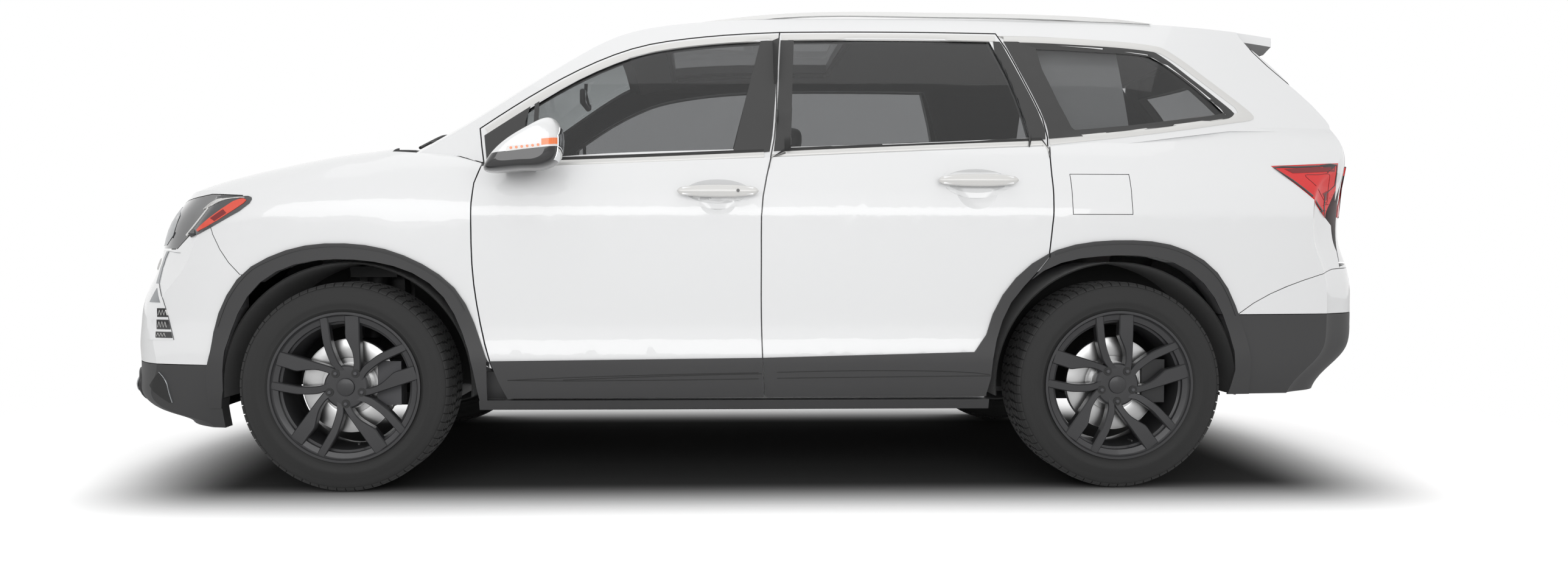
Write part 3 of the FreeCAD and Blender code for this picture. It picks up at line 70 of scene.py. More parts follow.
class Tree:
    """Adds nodes to one node tree and joins them."""

    def __init__(self, tree: bpy.types.NodeTree) -> None:
        """Keep the tree.

        Args:
            tree: The node tree to fill.
        """
        self.tree = tree

    def add(self, kind: str, inputs: dict[str | int, object] | None = None,
            **settings: object) -> bpy.types.Node:
        """Add one node.

        Args:
            kind: Blender's type name of the node.
            inputs: Value or source socket of its inputs, by name or number.
            settings: Properties of the node.

        Returns:
            The new node.
        """
        node = self.tree.nodes.new(kind)
        for key, value in settings.items():
            setattr(node, key, value)
        self.feed(node, inputs or {})
        return node

    def feed(self, node: bpy.types.Node, inputs: dict[str | int, object]) -> None:
        """Set inputs of a node, or link the ones that are given as a source socket.

        Args:
            node: The node to feed.
            inputs: Value or source socket of each input, by name or number.
        """
        for key, value in inputs.items():
            if isinstance(value, bpy.types.NodeSocket):
                self.tree.links.new(value, node.inputs[key])
            else:
                node.inputs[key].default_value = value

    def math(self, operation: str, *terms: object) -> bpy.types.NodeSocket:
        """Result of a math node whose terms are numbers or sockets."""
        return self.add("ShaderNodeMath", dict(enumerate(terms)), operation=operation).outputs[0]

    def mix(self, share: object, low: object, high: object, kind: str = "RGBA") -> bpy.types.NodeSocket:
        """Blend between two values or sockets."""
        node = self.add("ShaderNodeMix", {"Factor": share, "A": low, "B": high}, data_type=kind)
        return node.outputs["Result"]

    def place(self, output: str = "Object") -> bpy.types.NodeSocket:
        """Place or normal of the shaded point, as the object sees it."""
        return self.add("ShaderNodeTexCoord").outputs[output]

    def axes(self) -> list[bpy.types.NodeSocket]:
        """X, Y and Z of the shaded point's place."""
        return list(self.add("ShaderNodeSeparateXYZ", {0: self.place()}).outputs)


def new_group(name: str, kind: str, inputs: Sequence[tuple[str, str, object]],
              outputs: Sequence[tuple[str, str]]) -> tuple[Tree, bpy.types.Node, bpy.types.Node]:
    """Make a node group with named sockets.

    Args:
        name: Name of the group.
        kind: ShaderNodeTree or GeometryNodeTree.
        inputs: Name, socket type and default of each input.
        outputs: Name and socket type of each output.

    Returns:
        The tree helper, its input node and its output node.
    """
    tree = bpy.data.node_groups.new(name, kind)
    for label, socket, default in inputs:
        item = tree.interface.new_socket(label, in_out="INPUT", socket_type=socket)
        if default is not None:
            item.default_value = default
    for label, socket in outputs:
        tree.interface.new_socket(label, in_out="OUTPUT", socket_type=socket)
    kit = Tree(tree)
    return kit, kit.add("NodeGroupInput"), kit.add("NodeGroupOutput")


def mottle_group() -> bpy.types.NodeTree:
    """Group that varies a colour and a roughness slowly over the surface.

    Returns:
        The shader group, built once.
    """
    if "mottle" in bpy.data.node_groups:
        return bpy.data.node_groups["mottle"]
    kit, start, end = new_group(
        "mottle", "ShaderNodeTree",
        [("Colour", "NodeSocketColor", (0.8, 0.8, 0.8, 1.0)), ("Spread", "NodeSocketFloat", 0.03),
         ("Scale", "NodeSocketFloat", 5.0), ("Roughness", "NodeSocketFloat", 0.4),
         ("Roughness Spread", "NodeSocketFloat", 0.05)],
        [("Colour", "NodeSocketColor"), ("Roughness", "NodeSocketFloat")])
    noise = kit.add("ShaderNodeTexNoise", {"Detail": 4.0, "Vector": kit.place(),
                                           "Scale": start.outputs["Scale"]})
    centred = kit.math("SUBTRACT", noise.outputs["Fac"], 0.5)
    value = kit.math("MULTIPLY_ADD", centred, start.outputs["Spread"], 1.0)
    tone = kit.add("ShaderNodeHueSaturation", {"Color": start.outputs["Colour"], "Value": value})
    rough = kit.math("MULTIPLY_ADD", centred, start.outputs["Roughness Spread"],
                     start.outputs["Roughness"])
    kit.feed(end, {"Colour": tone.outputs["Color"], "Roughness": rough})
    return kit.tree


def grain_group() -> bpy.types.NodeTree:
    """Group that gives the height of a moulded or leather grain.

    Returns:
        The shader group, built once.
    """
    if "moulded_grain" in bpy.data.node_groups:
        return bpy.data.node_groups["moulded_grain"]
    kit, start, end = new_group(
        "moulded_grain", "ShaderNodeTree",
        [("Scale", "NodeSocketFloat", 400.0), ("Cells", "NodeSocketFloat", 0.6)],
        [("Height", "NodeSocketFloat")])
    spots = {"Vector": kit.place(), "Scale": start.outputs["Scale"]}
    cells = kit.add("ShaderNodeTexVoronoi", spots, feature="SMOOTH_F1")
    noise = kit.add("ShaderNodeTexNoise", {"Detail": 3.0, **spots})
    kit.feed(end, {"Height": kit.mix(start.outputs["Cells"], noise.outputs["Fac"],
                                     cells.outputs["Distance"], "FLOAT")})
    return kit.tree


def inward_group() -> bpy.types.NodeTree:
    """Group that marks faces which look towards the cabin, and, by a loose limit, the shut faces in the
    seams, where it paints shade.

    Returns:
        The shader group, built once.
    """
    if "looks_inward" in bpy.data.node_groups:
        return bpy.data.node_groups["looks_inward"]
    kit, _, end = new_group("looks_inward", "ShaderNodeTree", [], [("Inward", "NodeSocketFloat")])
    ray = kit.add("ShaderNodeVectorMath", {0: kit.place(), 1: CABIN_MIDDLE}, operation="SUBTRACT")
    unit = kit.add("ShaderNodeVectorMath", {0: ray.outputs["Vector"]}, operation="NORMALIZE")
    facing = kit.add("ShaderNodeVectorMath", {0: unit.outputs["Vector"], 1: kit.place("Normal")},
                     operation="DOT_PRODUCT")
    # The loose limit also marks the shut faces in the seams, so that they take the dark colour as painted
    # shade.
    inward = kit.math("LESS_THAN", facing.outputs["Value"], -0.22)
    x, y, _ = kit.axes()
    centre = kit.math("LESS_THAN", kit.math("ABSOLUTE", y), 0.70)
    lined = kit.math("MAXIMUM", centre, kit.math("LESS_THAN", x, 2.12))
    kit.feed(end, {"Inward": kit.math("MULTIPLY", inward, lined)})
    return kit.tree


@dataclass(frozen=True)
class Finish:
    """An opaque surface finish.

    Attributes:
        name: Plain name of the finish.
        colour: Linear base colour.
        roughness: Middle roughness.
        metallic: Metallic value.
        coat: Weight of a clear coat.
        spread: How much the brightness changes over the surface.
        scale: Size of those changes, per metre.
        roughness_spread: How much the roughness changes.
        grain_scale: Grain cells per metre, or zero for none.
        grain_depth: Height of the grain in metres.
        cells: Share of round cells against noise in the grain.
        sheen: Weight of a soft sheen.
    """

    name: str
    colour: Triple
    roughness: float
    metallic: float = 0.0
    coat: float = 0.0
    spread: float = 0.06
    scale: float = 3.0
    roughness_spread: float = 0.06
    grain_scale: float = 0.0
    grain_depth: float = 0.0
    cells: float = 0.6
    sheen: float = 0.0

    def build(self) -> bpy.types.Material:
        """Make the material or find it again.

        Returns:
            The material.
        """
        found = bpy.data.materials.get(self.name)
        if found:
            return found
        material = bpy.data.materials.new(self.name)
        material.use_nodes = True
        material.diffuse_color = (*self.colour, 1.0)
        kit = Tree(material.node_tree)
        shader = material.node_tree.nodes["Principled BSDF"]
        self.dress(kit, shader)
        return material

    def dress(self, kit: Tree, shader: bpy.types.Node) -> None:
        """Feed the shader its colour, roughness and grain.

        Args:
            kit: Tree helper of the material.
            shader: The principled shader node.
        """
        mottle = kit.add("ShaderNodeGroup", {
            "Colour": (*self.colour, 1.0), "Spread": self.spread, "Scale": self.scale,
            "Roughness": self.roughness, "Roughness Spread": self.roughness_spread},
            node_tree=mottle_group())
        kit.feed(shader, {
            "Base Color": mottle.outputs["Colour"], "Roughness": mottle.outputs["Roughness"],
            "Metallic": self.metallic, "Coat Weight": self.coat, "Coat Roughness": 0.02,
            "Sheen Weight": self.sheen})
        if self.grain_scale:
            grain = kit.add("ShaderNodeGroup", {"Scale": self.grain_scale, "Cells": self.cells},
                            node_tree=grain_group())
            bump = kit.add("ShaderNodeBump", {"Distance": self.grain_depth, "Strength": 1.0,
                                              "Height": grain.outputs["Height"]})
            kit.feed(shader, {"Normal": bump.outputs["Normal"]})


@dataclass(frozen=True)
class GlassFinish(Finish):
    """A clear or tinted pane or lens.

    Attributes:
        ior: Index of refraction.
    """

    ior: float = 1.45

    def dress(self, kit: Tree, shader: bpy.types.Node) -> None:
        """Make the shader transmit light.

        Args:
            kit: Tree helper of the material.
            shader: The principled shader node.
        """
        super().dress(kit, shader)
        kit.feed(shader, {"Transmission Weight": 1.0, "IOR": self.ior})


@dataclass(frozen=True)
class LinedFinish(Finish):
    """Body paint whose faces towards the cabin take a dark colour: the cabin's real inner trim, and painted
    shade on the shut faces in the seams.

    Attributes:
        lining_and_seam_shade: Colour of the cabin's inner trim, also painted as shade on the shut faces in
            the seams.
    """

    lining_and_seam_shade: Triple = (0.1, 0.1, 0.1)

    def dress(self, kit: Tree, shader: bpy.types.Node) -> None:
        """Mix the dark colour in where a face looks towards the cabin: inner trim, and painted shade on the
        shut faces in the seams.

        Args:
            kit: Tree helper of the material.
            shader: The principled shader node.
        """
        super().dress(kit, shader)
        paint = shader.inputs["Base Color"].links[0].from_socket
        inward = kit.add("ShaderNodeGroup", node_tree=inward_group()).outputs["Inward"]
        kit.feed(shader, {"Base Color": kit.mix(inward, paint, (*self.lining_and_seam_shade, 1.0)),
                          "Coat Weight": kit.math("SUBTRACT", 1.0, inward)})


@dataclass(frozen=True)
class TwoToneFinish(Finish):
    """Paint above a slanted line and dark plastic below it.

    Attributes:
        lower: Colour of the plastic.
        height: Height of the line at the mirror.
        slope: Rise of the line towards the tail.
        pivot: Place along the wheelbase where the height is meant.
    """

    lower: Triple = (0.01, 0.01, 0.01)
    height: float = 1.2
    slope: float = 0.0
    pivot: float = -0.735

    def dress(self, kit: Tree, shader: bpy.types.Node) -> None:
        """Mix the dark colour in below the line.

        Args:
            kit: Tree helper of the material.
            shader: The principled shader node.
        """
        super().dress(kit, shader)
        paint = shader.inputs["Base Color"].links[0].from_socket
        x, _, z = kit.axes()
        below = kit.math("LESS_THAN", kit.math("MULTIPLY_ADD", x, -self.slope, z),
                         self.height - self.slope * (MID + self.pivot))
        kit.feed(shader, {"Base Color": kit.mix(below, paint, (*self.lower, 1.0))})


@dataclass(frozen=True)
class LampFinish(Finish):
    """A coloured lens with painted light: a weak glow stands in for the light that its optics send back.

    Attributes:
        glow: Strength of the painted glow.
        flutes: Number of flutes per metre.
        shade: Brightness of the painted glow between two flutes.
    """

    glow: float = 0.2
    flutes: float = 60.0
    shade: float = 0.45

    def dress(self, kit: Tree, shader: bpy.types.Node) -> None:
        """Add painted light: a weak glow in fine vertical flutes.

        Args:
            kit: Tree helper of the material.
            shader: The principled shader node.
        """
        super().dress(kit, shader)
        flutes = kit.add("ShaderNodeTexWave", {"Scale": self.flutes, "Distortion": 0.0,
                                               "Vector": kit.place()})
        dim = (*(self.shade * c for c in self.colour), 1.0)
        kit.feed(shader, {"Emission Color": kit.mix(flutes.outputs["Fac"], dim, (*self.colour, 1.0)),
                          "Emission Strength": self.glow})


class Look(Enum):
    """Every finish on the car."""

    # The paint's dark colour is the cabin's inner trim and also painted shade on the shut faces in the seams.
    PAINT = LinedFinish("white_paint", (0.84, 0.845, 0.85), 0.30, coat=1.0, spread=0.015, scale=1.5,
                        roughness_spread=0.03, lining_and_seam_shade=(0.075, 0.075, 0.078))
    CLADDING = Finish("grey_cladding", (0.037, 0.037, 0.038), 0.50, grain_scale=700.0,
                      grain_depth=0.00010, spread=0.10)
    GLOSS_BLACK = Finish("gloss_black", (0.008, 0.008, 0.009), 0.10, coat=0.6, spread=0.2)
    RUBBER = Finish("tyre_rubber", (0.015, 0.015, 0.015), 0.74, grain_scale=900.0,
                    grain_depth=0.00012, spread=0.20, scale=14.0, sheen=0.05)
    SEAL = Finish("window_seal", (0.012, 0.012, 0.012), 0.55, grain_scale=600.0, grain_depth=0.00008)
    ALLOY = Finish("graphite_wheel", (0.038, 0.038, 0.040), 0.38, metallic=0.25, coat=0.15,
                   grain_scale=1200.0, grain_depth=0.00002, spread=0.10)
    BRIGHT = Finish("satin_moulding", (0.70, 0.695, 0.68), 0.34, metallic=0.15, coat=0.3, spread=0.03,
                    grain_scale=500.0, grain_depth=0.00001, cells=0.0)
    RAIL = Finish("roof_rail", (0.70, 0.70, 0.69), 0.32, metallic=0.1, coat=0.5, spread=0.03)
    LAMP_CASE = Finish("lamp_case", (0.045, 0.046, 0.048), 0.14, coat=1.0, spread=0.25, scale=16.0)
    PILLAR = Finish("pillar_cover", (0.037, 0.037, 0.037), 0.52, spread=0.08)
    # Painted shade: a darker copy of the paint that stands in for the shade inside the handle recesses.
    RECESS_SHADE = Finish("handle_recess_shade", (0.62, 0.625, 0.63), 0.34, coat=0.8, spread=0.02)
    PALE_PLATE = Finish("blank_plate", (0.74, 0.74, 0.73), 0.35, coat=0.3, spread=0.04, grain_scale=300.0,
                        grain_depth=0.00002)
    CHROME = Finish("satin_chrome", (0.72, 0.73, 0.74), 0.16, metallic=1.0, spread=0.04,
                    grain_scale=500.0, grain_depth=0.00001, cells=0.0)
    STEEL = Finish("brake_steel", (0.55, 0.55, 0.55), 0.30, metallic=1.0, spread=0.12, scale=18.0,
                   grain_scale=900.0, grain_depth=0.00004, cells=0.0)
    CAST = Finish("cast_iron", (0.085, 0.085, 0.09), 0.62, metallic=0.4, grain_scale=350.0,
                  grain_depth=0.0003, spread=0.3, scale=12.0)
    CHASSIS = Finish("chassis_paint", (0.022, 0.022, 0.023), 0.52, grain_scale=220.0,
                     grain_depth=0.0002, spread=0.25, scale=8.0)
    FLOOR = Finish("floor_coat", (0.055, 0.055, 0.057), 0.70, grain_scale=160.0, grain_depth=0.0004,
                   spread=0.30, scale=6.0)
    ENGINE = Finish("cast_alloy", (0.33, 0.33, 0.34), 0.52, metallic=0.7, grain_scale=300.0,
                    grain_depth=0.0003, spread=0.18, scale=7.0)
    EXHAUST = Finish("exhaust_steel", (0.36, 0.34, 0.31), 0.42, metallic=0.9, spread=0.35, scale=9.0,
                     grain_scale=260.0, grain_depth=0.0001)
    LINER = Finish("arch_felt", (0.012, 0.012, 0.012), 0.92, grain_scale=800.0, grain_depth=0.0008,
                   cells=0.2, spread=0.3, sheen=0.2)
    LEATHER = Finish("grey_leather", (0.060, 0.061, 0.064), 0.48, grain_scale=520.0,
                     grain_depth=0.00025, spread=0.14, scale=9.0, sheen=0.12)
    SOFT_TRIM = Finish("soft_trim", (0.050, 0.050, 0.053), 0.60, grain_scale=650.0,
                       grain_depth=0.0002, spread=0.14)
    PALE_TRIM = Finish("pale_trim", (0.36, 0.36, 0.35), 0.75, grain_scale=900.0, grain_depth=0.0002,
                       cells=0.1, sheen=0.2)
    STITCH = Finish("stitch_thread", (0.20, 0.20, 0.20), 0.80, grain_scale=2500.0, grain_depth=0.0001)
    MIRROR = Finish("mirror_silver", (0.80, 0.81, 0.82), 0.03, metallic=1.0, spread=0.02)
    GLASS = GlassFinish("smoked_glass", (0.40, 0.405, 0.41), 0.0, roughness_spread=0.0, spread=0.04)
    SCREEN = GlassFinish("screen_glass", (0.62, 0.66, 0.66), 0.0, roughness_spread=0.0, spread=0.03)
    LENS = GlassFinish("lamp_lens", (0.93, 0.95, 0.96), 0.0, roughness_spread=0.0, spread=0.02)
    LAMP_BOWL = Finish("lamp_bowl", (0.30, 0.31, 0.32), 0.22, metallic=0.9, spread=0.2, scale=30.0,
                       grain_scale=300.0, grain_depth=0.0001, cells=0.0)
    # The lens finishes below carry a weak painted glow that brightens them.
    RED_LENS = LampFinish("red_lens", (0.56, 0.014, 0.014), 0.22, coat=0.25, glow=0.34)
    DARK_RED = LampFinish("dark_red_lens", (0.20, 0.008, 0.010), 0.25, coat=0.2, glow=0.08)
    AMBER = LampFinish("amber_lens", (0.80, 0.17, 0.03), 0.15, coat=1.0, glow=0.30)
    MARKER = LampFinish("side_marker", (0.62, 0.070, 0.040), 0.22, coat=0.3, glow=0.30)
    MIRROR_CASE = TwoToneFinish("mirror_case", (0.84, 0.845, 0.85), 0.28, coat=1.0, spread=0.015, scale=1.5,
                                roughness_spread=0.03, lower=(0.012, 0.012, 0.013), height=1.219,
                                slope=0.115)

    def material(self) -> bpy.types.Material:
        """Material of this finish."""
        return self.value.build()


def wear(piece: bpy.types.Object, look: Look) -> None:
    """Give every slot of a piece one finish."""
    piece.data.materials.clear()
    piece.data.materials.append(look.material())


def linked(name: str, data: bpy.types.ID) -> bpy.types.Object:
    """Make an object and put it in the scene.

    Args:
        name: Name of the object.
        data: Its mesh, camera or light.

    Returns:
        The object.
    """
    thing = bpy.data.objects.new(name, data)
    bpy.context.scene.collection.objects.link(thing)
    return thing


def new_piece(name: str, points: Sequence[Sequence[float]], faces: Sequence[Sequence[int]], look: Look,
              smooth: bool = True) -> bpy.types.Object:
    """Make a mesh object at the origin.

    Args:
        name: Name of the piece.
        points: Its corners in metres.
        faces: Corner numbers of each face.
        look: Its finish.
        smooth: Whether faces are shaded smooth.

    Returns:
        The new object.
    """
    mesh = bpy.data.meshes.new(name)
    mesh.from_pydata([tuple(p) for p in points], [], [tuple(f) for f in faces])
    mesh.validate()
    mesh.update()
    if smooth:
        mesh.shade_smooth()
    piece = linked(name, mesh)
    wear(piece, look)
    return piece


def facing_out(piece: bpy.types.Object) -> bpy.types.Object:
    """Merge doubles and point the faces of a closed mesh outwards.

    Args:
        piece: Mesh object.

    Returns:
        The same object.
    """
    shell = bmesh.new()
    shell.from_mesh(piece.data)
    bmesh.ops.remove_doubles(shell, verts=shell.verts, dist=DOUBLES)
    bmesh.ops.recalc_face_normals(shell, faces=shell.faces)
    shell.to_mesh(piece.data)
    shell.free()
    return piece


def sharp_edges(piece: bpy.types.Object, degrees: float = 35.0) -> bpy.types.Object:
    """Keep edges above an angle sharp on a smooth piece."""
    piece.data.set_sharp_from_angle(angle=math.radians(degrees))
    return piece


def bevelled(piece: bpy.types.Object, width: float) -> bpy.types.Object:
    """Round the edges of a piece with a Bevel modifier.

    Args:
        piece: Mesh object.
        width: Width of the round in metres.

    Returns:
        The same object.
    """
    bevel = piece.modifiers.new("edges", "BEVEL")
    bevel.width = width
    bevel.segments = 3
    bevel.limit_method = "ANGLE"
    bevel.angle_limit = math.radians(40.0)
    return baked(piece)


def subdivided(piece: bpy.types.Object, levels: int) -> bpy.types.Object:
    """Smooth a piece with a Subdivision Surface modifier that is baked.

    Args:
        piece: Mesh object.
        levels: Number of levels.

    Returns:
        The same object.
    """
    smooth = piece.modifiers.new("smooth", "SUBSURF")
    smooth.levels = levels
    smooth.render_levels = levels
    return baked(piece)


def baked(piece: bpy.types.Object) -> bpy.types.Object:
    """Replace a piece's mesh by its evaluated mesh and drop the modifiers.

    Args:
        piece: Mesh object with modifiers.

    Returns:
        The same object.
    """
    graph = bpy.context.evaluated_depsgraph_get()
    graph.update()
    mesh = bpy.data.meshes.new_from_object(piece.evaluated_get(graph))
    piece.modifiers.clear()
    piece.data = mesh
    return piece


def joined(name: str, parts: Sequence[bpy.types.Object]) -> bpy.types.Object:
    """Join pieces of one finish or more into one object.

    Args:
        name: Name of the new piece.
        parts: Objects to join; they are used up.

    Returns:
        The joined object.
    """
    whole = bmesh.new()
    materials: list[bpy.types.Material] = []
    for part in parts:
        first = len(whole.faces)
        whole.from_mesh(part.data)
        whole.faces.ensure_lookup_table()
        slots = list(part.data.materials)
        for face in whole.faces[first:]:
            material = slots[min(face.material_index, len(slots) - 1)]
            if material not in materials:
                materials.append(material)
            face.material_index = materials.index(material)
    mesh = bpy.data.meshes.new(name)
    whole.to_mesh(mesh)
    whole.free()
    for material in materials:
        mesh.materials.append(material)
    for part in parts:
        bpy.data.objects.remove(part)
    return linked(name, mesh)


def scattered(kit: Tree, start: bpy.types.Node, end: bpy.types.Node,
              spots: dict[str, bpy.types.NodeSocket]) -> bpy.types.NodeTree:
    """End a repeating tree: copy its part to every point and give it its finish.

    Args:
        kit: Tree helper.
        start: Input node of the tree.
        end: Output node of the tree.
        spots: Sockets of the points and, where the copies turn, of the rotation.

    Returns:
        The whole tree.
    """
    copies = kit.add("GeometryNodeInstanceOnPoints", {"Instance": start.outputs["Part"], **spots})
    real = kit.add("GeometryNodeRealizeInstances", {"Geometry": copies.outputs["Instances"]})
    dress = kit.add("GeometryNodeSetMaterial", {"Geometry": real.outputs["Geometry"],
                                                "Material": start.outputs["Finish"]})
    kit.feed(end, {"Result": dress.outputs["Geometry"]})
    return kit.tree


def radial_tree() -> bpy.types.NodeTree:
    """Geometry tree that repeats a part round an axle along Y.

    Returns:
        The geometry group, built once.
    """
    if "repeat_round_axle" in bpy.data.node_groups:
        return bpy.data.node_groups["repeat_round_axle"]
    kit, start, end = new_group(
        "repeat_round_axle", "GeometryNodeTree",
        [("Part", "NodeSocketGeometry", None), ("Count", "NodeSocketInt", 5),
         ("Phase", "NodeSocketFloat", 0.0), ("Finish", "NodeSocketMaterial", None)],
        [("Result", "NodeSocketGeometry")])
    line = kit.add("GeometryNodeMeshLine", {"Offset": (0.0, 0.0, 0.0), "Count": start.outputs["Count"]},
                   mode="OFFSET")
    index = kit.add("GeometryNodeInputIndex").outputs[0]
    angle = kit.math("MULTIPLY_ADD", index, kit.math("DIVIDE", math.tau, start.outputs["Count"]),
                     start.outputs["Phase"])
    turn = kit.add("ShaderNodeCombineXYZ", {"Y": angle})
    return scattered(kit, start, end, {"Points": line.outputs["Mesh"], "Rotation": turn.outputs["Vector"]})


def lattice_tree() -> bpy.types.NodeTree:
    """Geometry tree that repeats a part over a staggered grid in the YZ plane.

    Returns:
        The geometry group, built once.
    """
    if "repeat_staggered" in bpy.data.node_groups:
        return bpy.data.node_groups["repeat_staggered"]
    kit, start, end = new_group(
        "repeat_staggered", "GeometryNodeTree",
        [("Part", "NodeSocketGeometry", None), ("Columns", "NodeSocketInt", 10),
         ("Rows", "NodeSocketInt", 4), ("Pitch Y", "NodeSocketFloat", 0.03),
         ("Pitch Z", "NodeSocketFloat", 0.03), ("Finish", "NodeSocketMaterial", None)],
        [("Result", "NodeSocketGeometry")])
    columns = start.outputs["Columns"]
    index = kit.add("GeometryNodeInputIndex").outputs[0]
    row = kit.math("FLOOR", kit.math("DIVIDE", index, columns))
    column = kit.math("MODULO", index, columns)
    shifted = kit.math("MULTIPLY_ADD", kit.math("MODULO", row, 2.0), 0.5, column)
    spot = kit.add("ShaderNodeCombineXYZ", {
        "Y": kit.math("MULTIPLY", shifted, start.outputs["Pitch Y"]),
        "Z": kit.math("MULTIPLY", row, start.outputs["Pitch Z"])})
    points = kit.add("GeometryNodePoints", {
        "Count": kit.math("MULTIPLY", columns, start.outputs["Rows"]), "Position": spot.outputs["Vector"]})
    return scattered(kit, start, end, {"Points": points.outputs[0]})


def repeated(part: bpy.types.Object, tree: bpy.types.NodeTree,
             values: dict[str, object]) -> bpy.types.Object:
    """Run a geometry tree on a part and keep the result as its plain mesh.

    Args:
        part: The part that is repeated.
        tree: The geometry tree.
        values: Values of the tree's named inputs.

    Returns:
        The same object with the repeated mesh.
    """
    run = part.modifiers.new("repeat", "NODES")
    run.node_group = tree
    for item in tree.interface.items_tree:
        if item.item_type == "SOCKET" and item.in_out == "INPUT" and item.name in values:
            run[item.identifier] = values[item.name]
    return baked(part)


class Probe:
    """Finds points on the surface of chosen solids."""

    def __init__(self, *nodes: str) -> None:
        """Gather the solids' faces.

        Args:
            nodes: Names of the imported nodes.
        """
        points: list[Vector] = []
        faces: list[list[int]] = []
        for name in nodes:
            mesh = frame["nodes"][name].data
            first = len(points)
            points += [v.co.copy() for v in mesh.vertices]
            faces += [[first + i for i in p.vertices] for p in mesh.polygons]
        self.hull = BVHTree.FromPolygons(points, faces)

    def cast(self, start: Triple, way: Triple) -> Vector | None:
        """First point that a ray hits, or None."""
        return self.hull.ray_cast(Vector(start), Vector(way))[0]

    def touch(self, start: Triple, way: Triple, near: Triple) -> Vector:
        """First point that a ray hits, or the surface point nearest to a place where it hits none.

        Args:
            start: Where the ray starts.
            way: Its direction.
            near: The place.

        Returns:
            The point.
        """
        hit = self.cast(start, way)
        return self.hull.find_nearest(Vector(near))[0] if hit is None else hit

    def beside(self, x: float, z: float, sign: float) -> Vector:
        """Outermost point of a side at a place along the wheelbase and a height."""
        return self.touch((x + MID, sign * 1.5, z), (0.0, -sign, 0.0), (x + MID, sign * 0.95, z))

    def ahead(self, y: float, z: float) -> Vector:
        """Foremost point at a width and a height."""
        return self.touch((-3.5, y, z), (1.0, 0.0, 0.0), (-2.3, y, z))

    def behind(self, y: float, z: float) -> Vector:
        """Rearmost point at a width and a height."""
        return self.touch((3.5, y, z), (-1.0, 0.0, 0.0), (2.4, y, z))


def smooth_path(points: Sequence[Sequence[float]], steps: int = 6, closed: bool = False) -> list[Vector]:
    """Smooth line through points.

    Args:
        points: Points that the line passes.
        steps: Pieces between two points.
        closed: Whether the line returns to its start.

    Returns:
        Points along the line.
    """
    knots = [Vector(p) for p in points]
    count = len(knots)
    out: list[Vector] = []
    spans = count if closed else count - 1
    for i in range(spans):
        a = knots[(i - 1) % count] if closed or i else knots[i]
        b, c = knots[i], knots[(i + 1) % count]
        d = knots[(i + 2) % count] if closed or i + 2 < count else c
        for k in range(steps):
            t = k / steps
            out.append(0.5 * ((2 * b) + (c - a) * t + (2 * a - 5 * b + 4 * c - d) * t * t
                              + (3 * b - a - 3 * c + d) * t ** 3))
    if not closed:
        out.append(knots[-1])
    return out


def run_faces(rings: int, count: int, closed: bool = False) -> list[tuple[int, ...]]:
    """Faces along a run of rings of points, with the two ends of an open run.

    Args:
        rings: Number of rings.
        count: Number of points in a ring.
        closed: Whether the last ring meets the first one.

    Returns:
        Corner numbers of each face.
    """
    faces = [(i * count + k, i * count + (k + 1) % count, j * count + (k + 1) % count, j * count + k)
             for i, j in ((i, (i + 1) % rings) for i in range(rings if closed else rings - 1))
             for k in range(count)]
    if not closed:
        faces += [tuple(range(count))[::-1], tuple((rings - 1) * count + k for k in range(count))]
    return faces


def oval(count: int, wide: float, high: float) -> list[Point]:
    """Points round an oval with two half axes."""
    turns = [math.tau * k / count for k in range(count)]
    return [(wide * math.cos(a), high * math.sin(a)) for a in turns]


def swept(name: str, path: Sequence[Vector], ups: Sequence[Vector], section: Sequence[Point], look: Look,
          closed: bool = False) -> bpy.types.Object:
    """Push a flat section along a path.

    Args:
        name: Name of the piece.
        path: Points of the path.
        ups: Direction of the section's second axis at each point.
        section: Corners of the section, first across and then along up.
        look: Finish.
        closed: Whether the path is a loop.

    Returns:
        The swept piece.
    """
    points: list[Vector] = []
    count = len(path)
    for i, spot in enumerate(path):
        before = path[i - 1] if i or closed else spot
        after = path[(i + 1) % count] if i + 1 < count or closed else spot
        way = (after - before).normalized()
        up = (ups[i] - way * ups[i].dot(way)).normalized()
        across = way.cross(up)
        points += [spot + across * a + up * b for a, b in section]
    faces = run_faces(count, len(section), closed)
    return sharp_edges(facing_out(new_piece(name, points, faces, look)), 50.0)


def rounded_box(name: str, low: Sequence[float], high: Sequence[float], look: Look,
                radius: float) -> bpy.types.Object:
    """Box with rounded edges between two corners.

    Args:
        name: Name of the piece.
        low: Lowest corner.
        high: Highest corner.
        look: Finish.
        radius: Size of the rounds.

    Returns:
        The box.
    """
    corners = [(x, y, z) for x in (low[0], high[0]) for y in (low[1], high[1]) for z in (low[2], high[2])]
    return bevelled(facing_out(new_piece(name, corners, BOX_FACES, look)), radius)


def turned(name: str, profile: Sequence[Point], centre: Sequence[float], look: Look,
           segments: int = 96) -> bpy.types.Object:
    """Turn a closed profile round an axle along Y.

    Args:
        name: Name of the piece.
        profile: Radius and distance along Y of each point.
        centre: Centre of the axle.
        look: Finish.
        segments: Steps round the axle.

    Returns:
        The turned piece.
    """
    points = []
    for i in range(segments):
        a = math.tau * i / segments
        points += [(centre[0] + r * math.sin(a), centre[1] + w, centre[2] + r * math.cos(a))
                   for r, w in profile]
    faces = run_faces(segments, len(profile), True)
    return sharp_edges(facing_out(new_piece(name, points, faces, look)), 40.0)


def settle(piece: bpy.types.Object, body: str) -> bpy.types.Object:
    """Let a finished piece ride on a body.

    Args:
        piece: The piece.
        body: Name of the body.

    Returns:
        The same piece.
    """
    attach(piece, body)
    log.info("%s rides on %s: %d faces", piece.name, body, len(piece.data.polygons))
    return piece


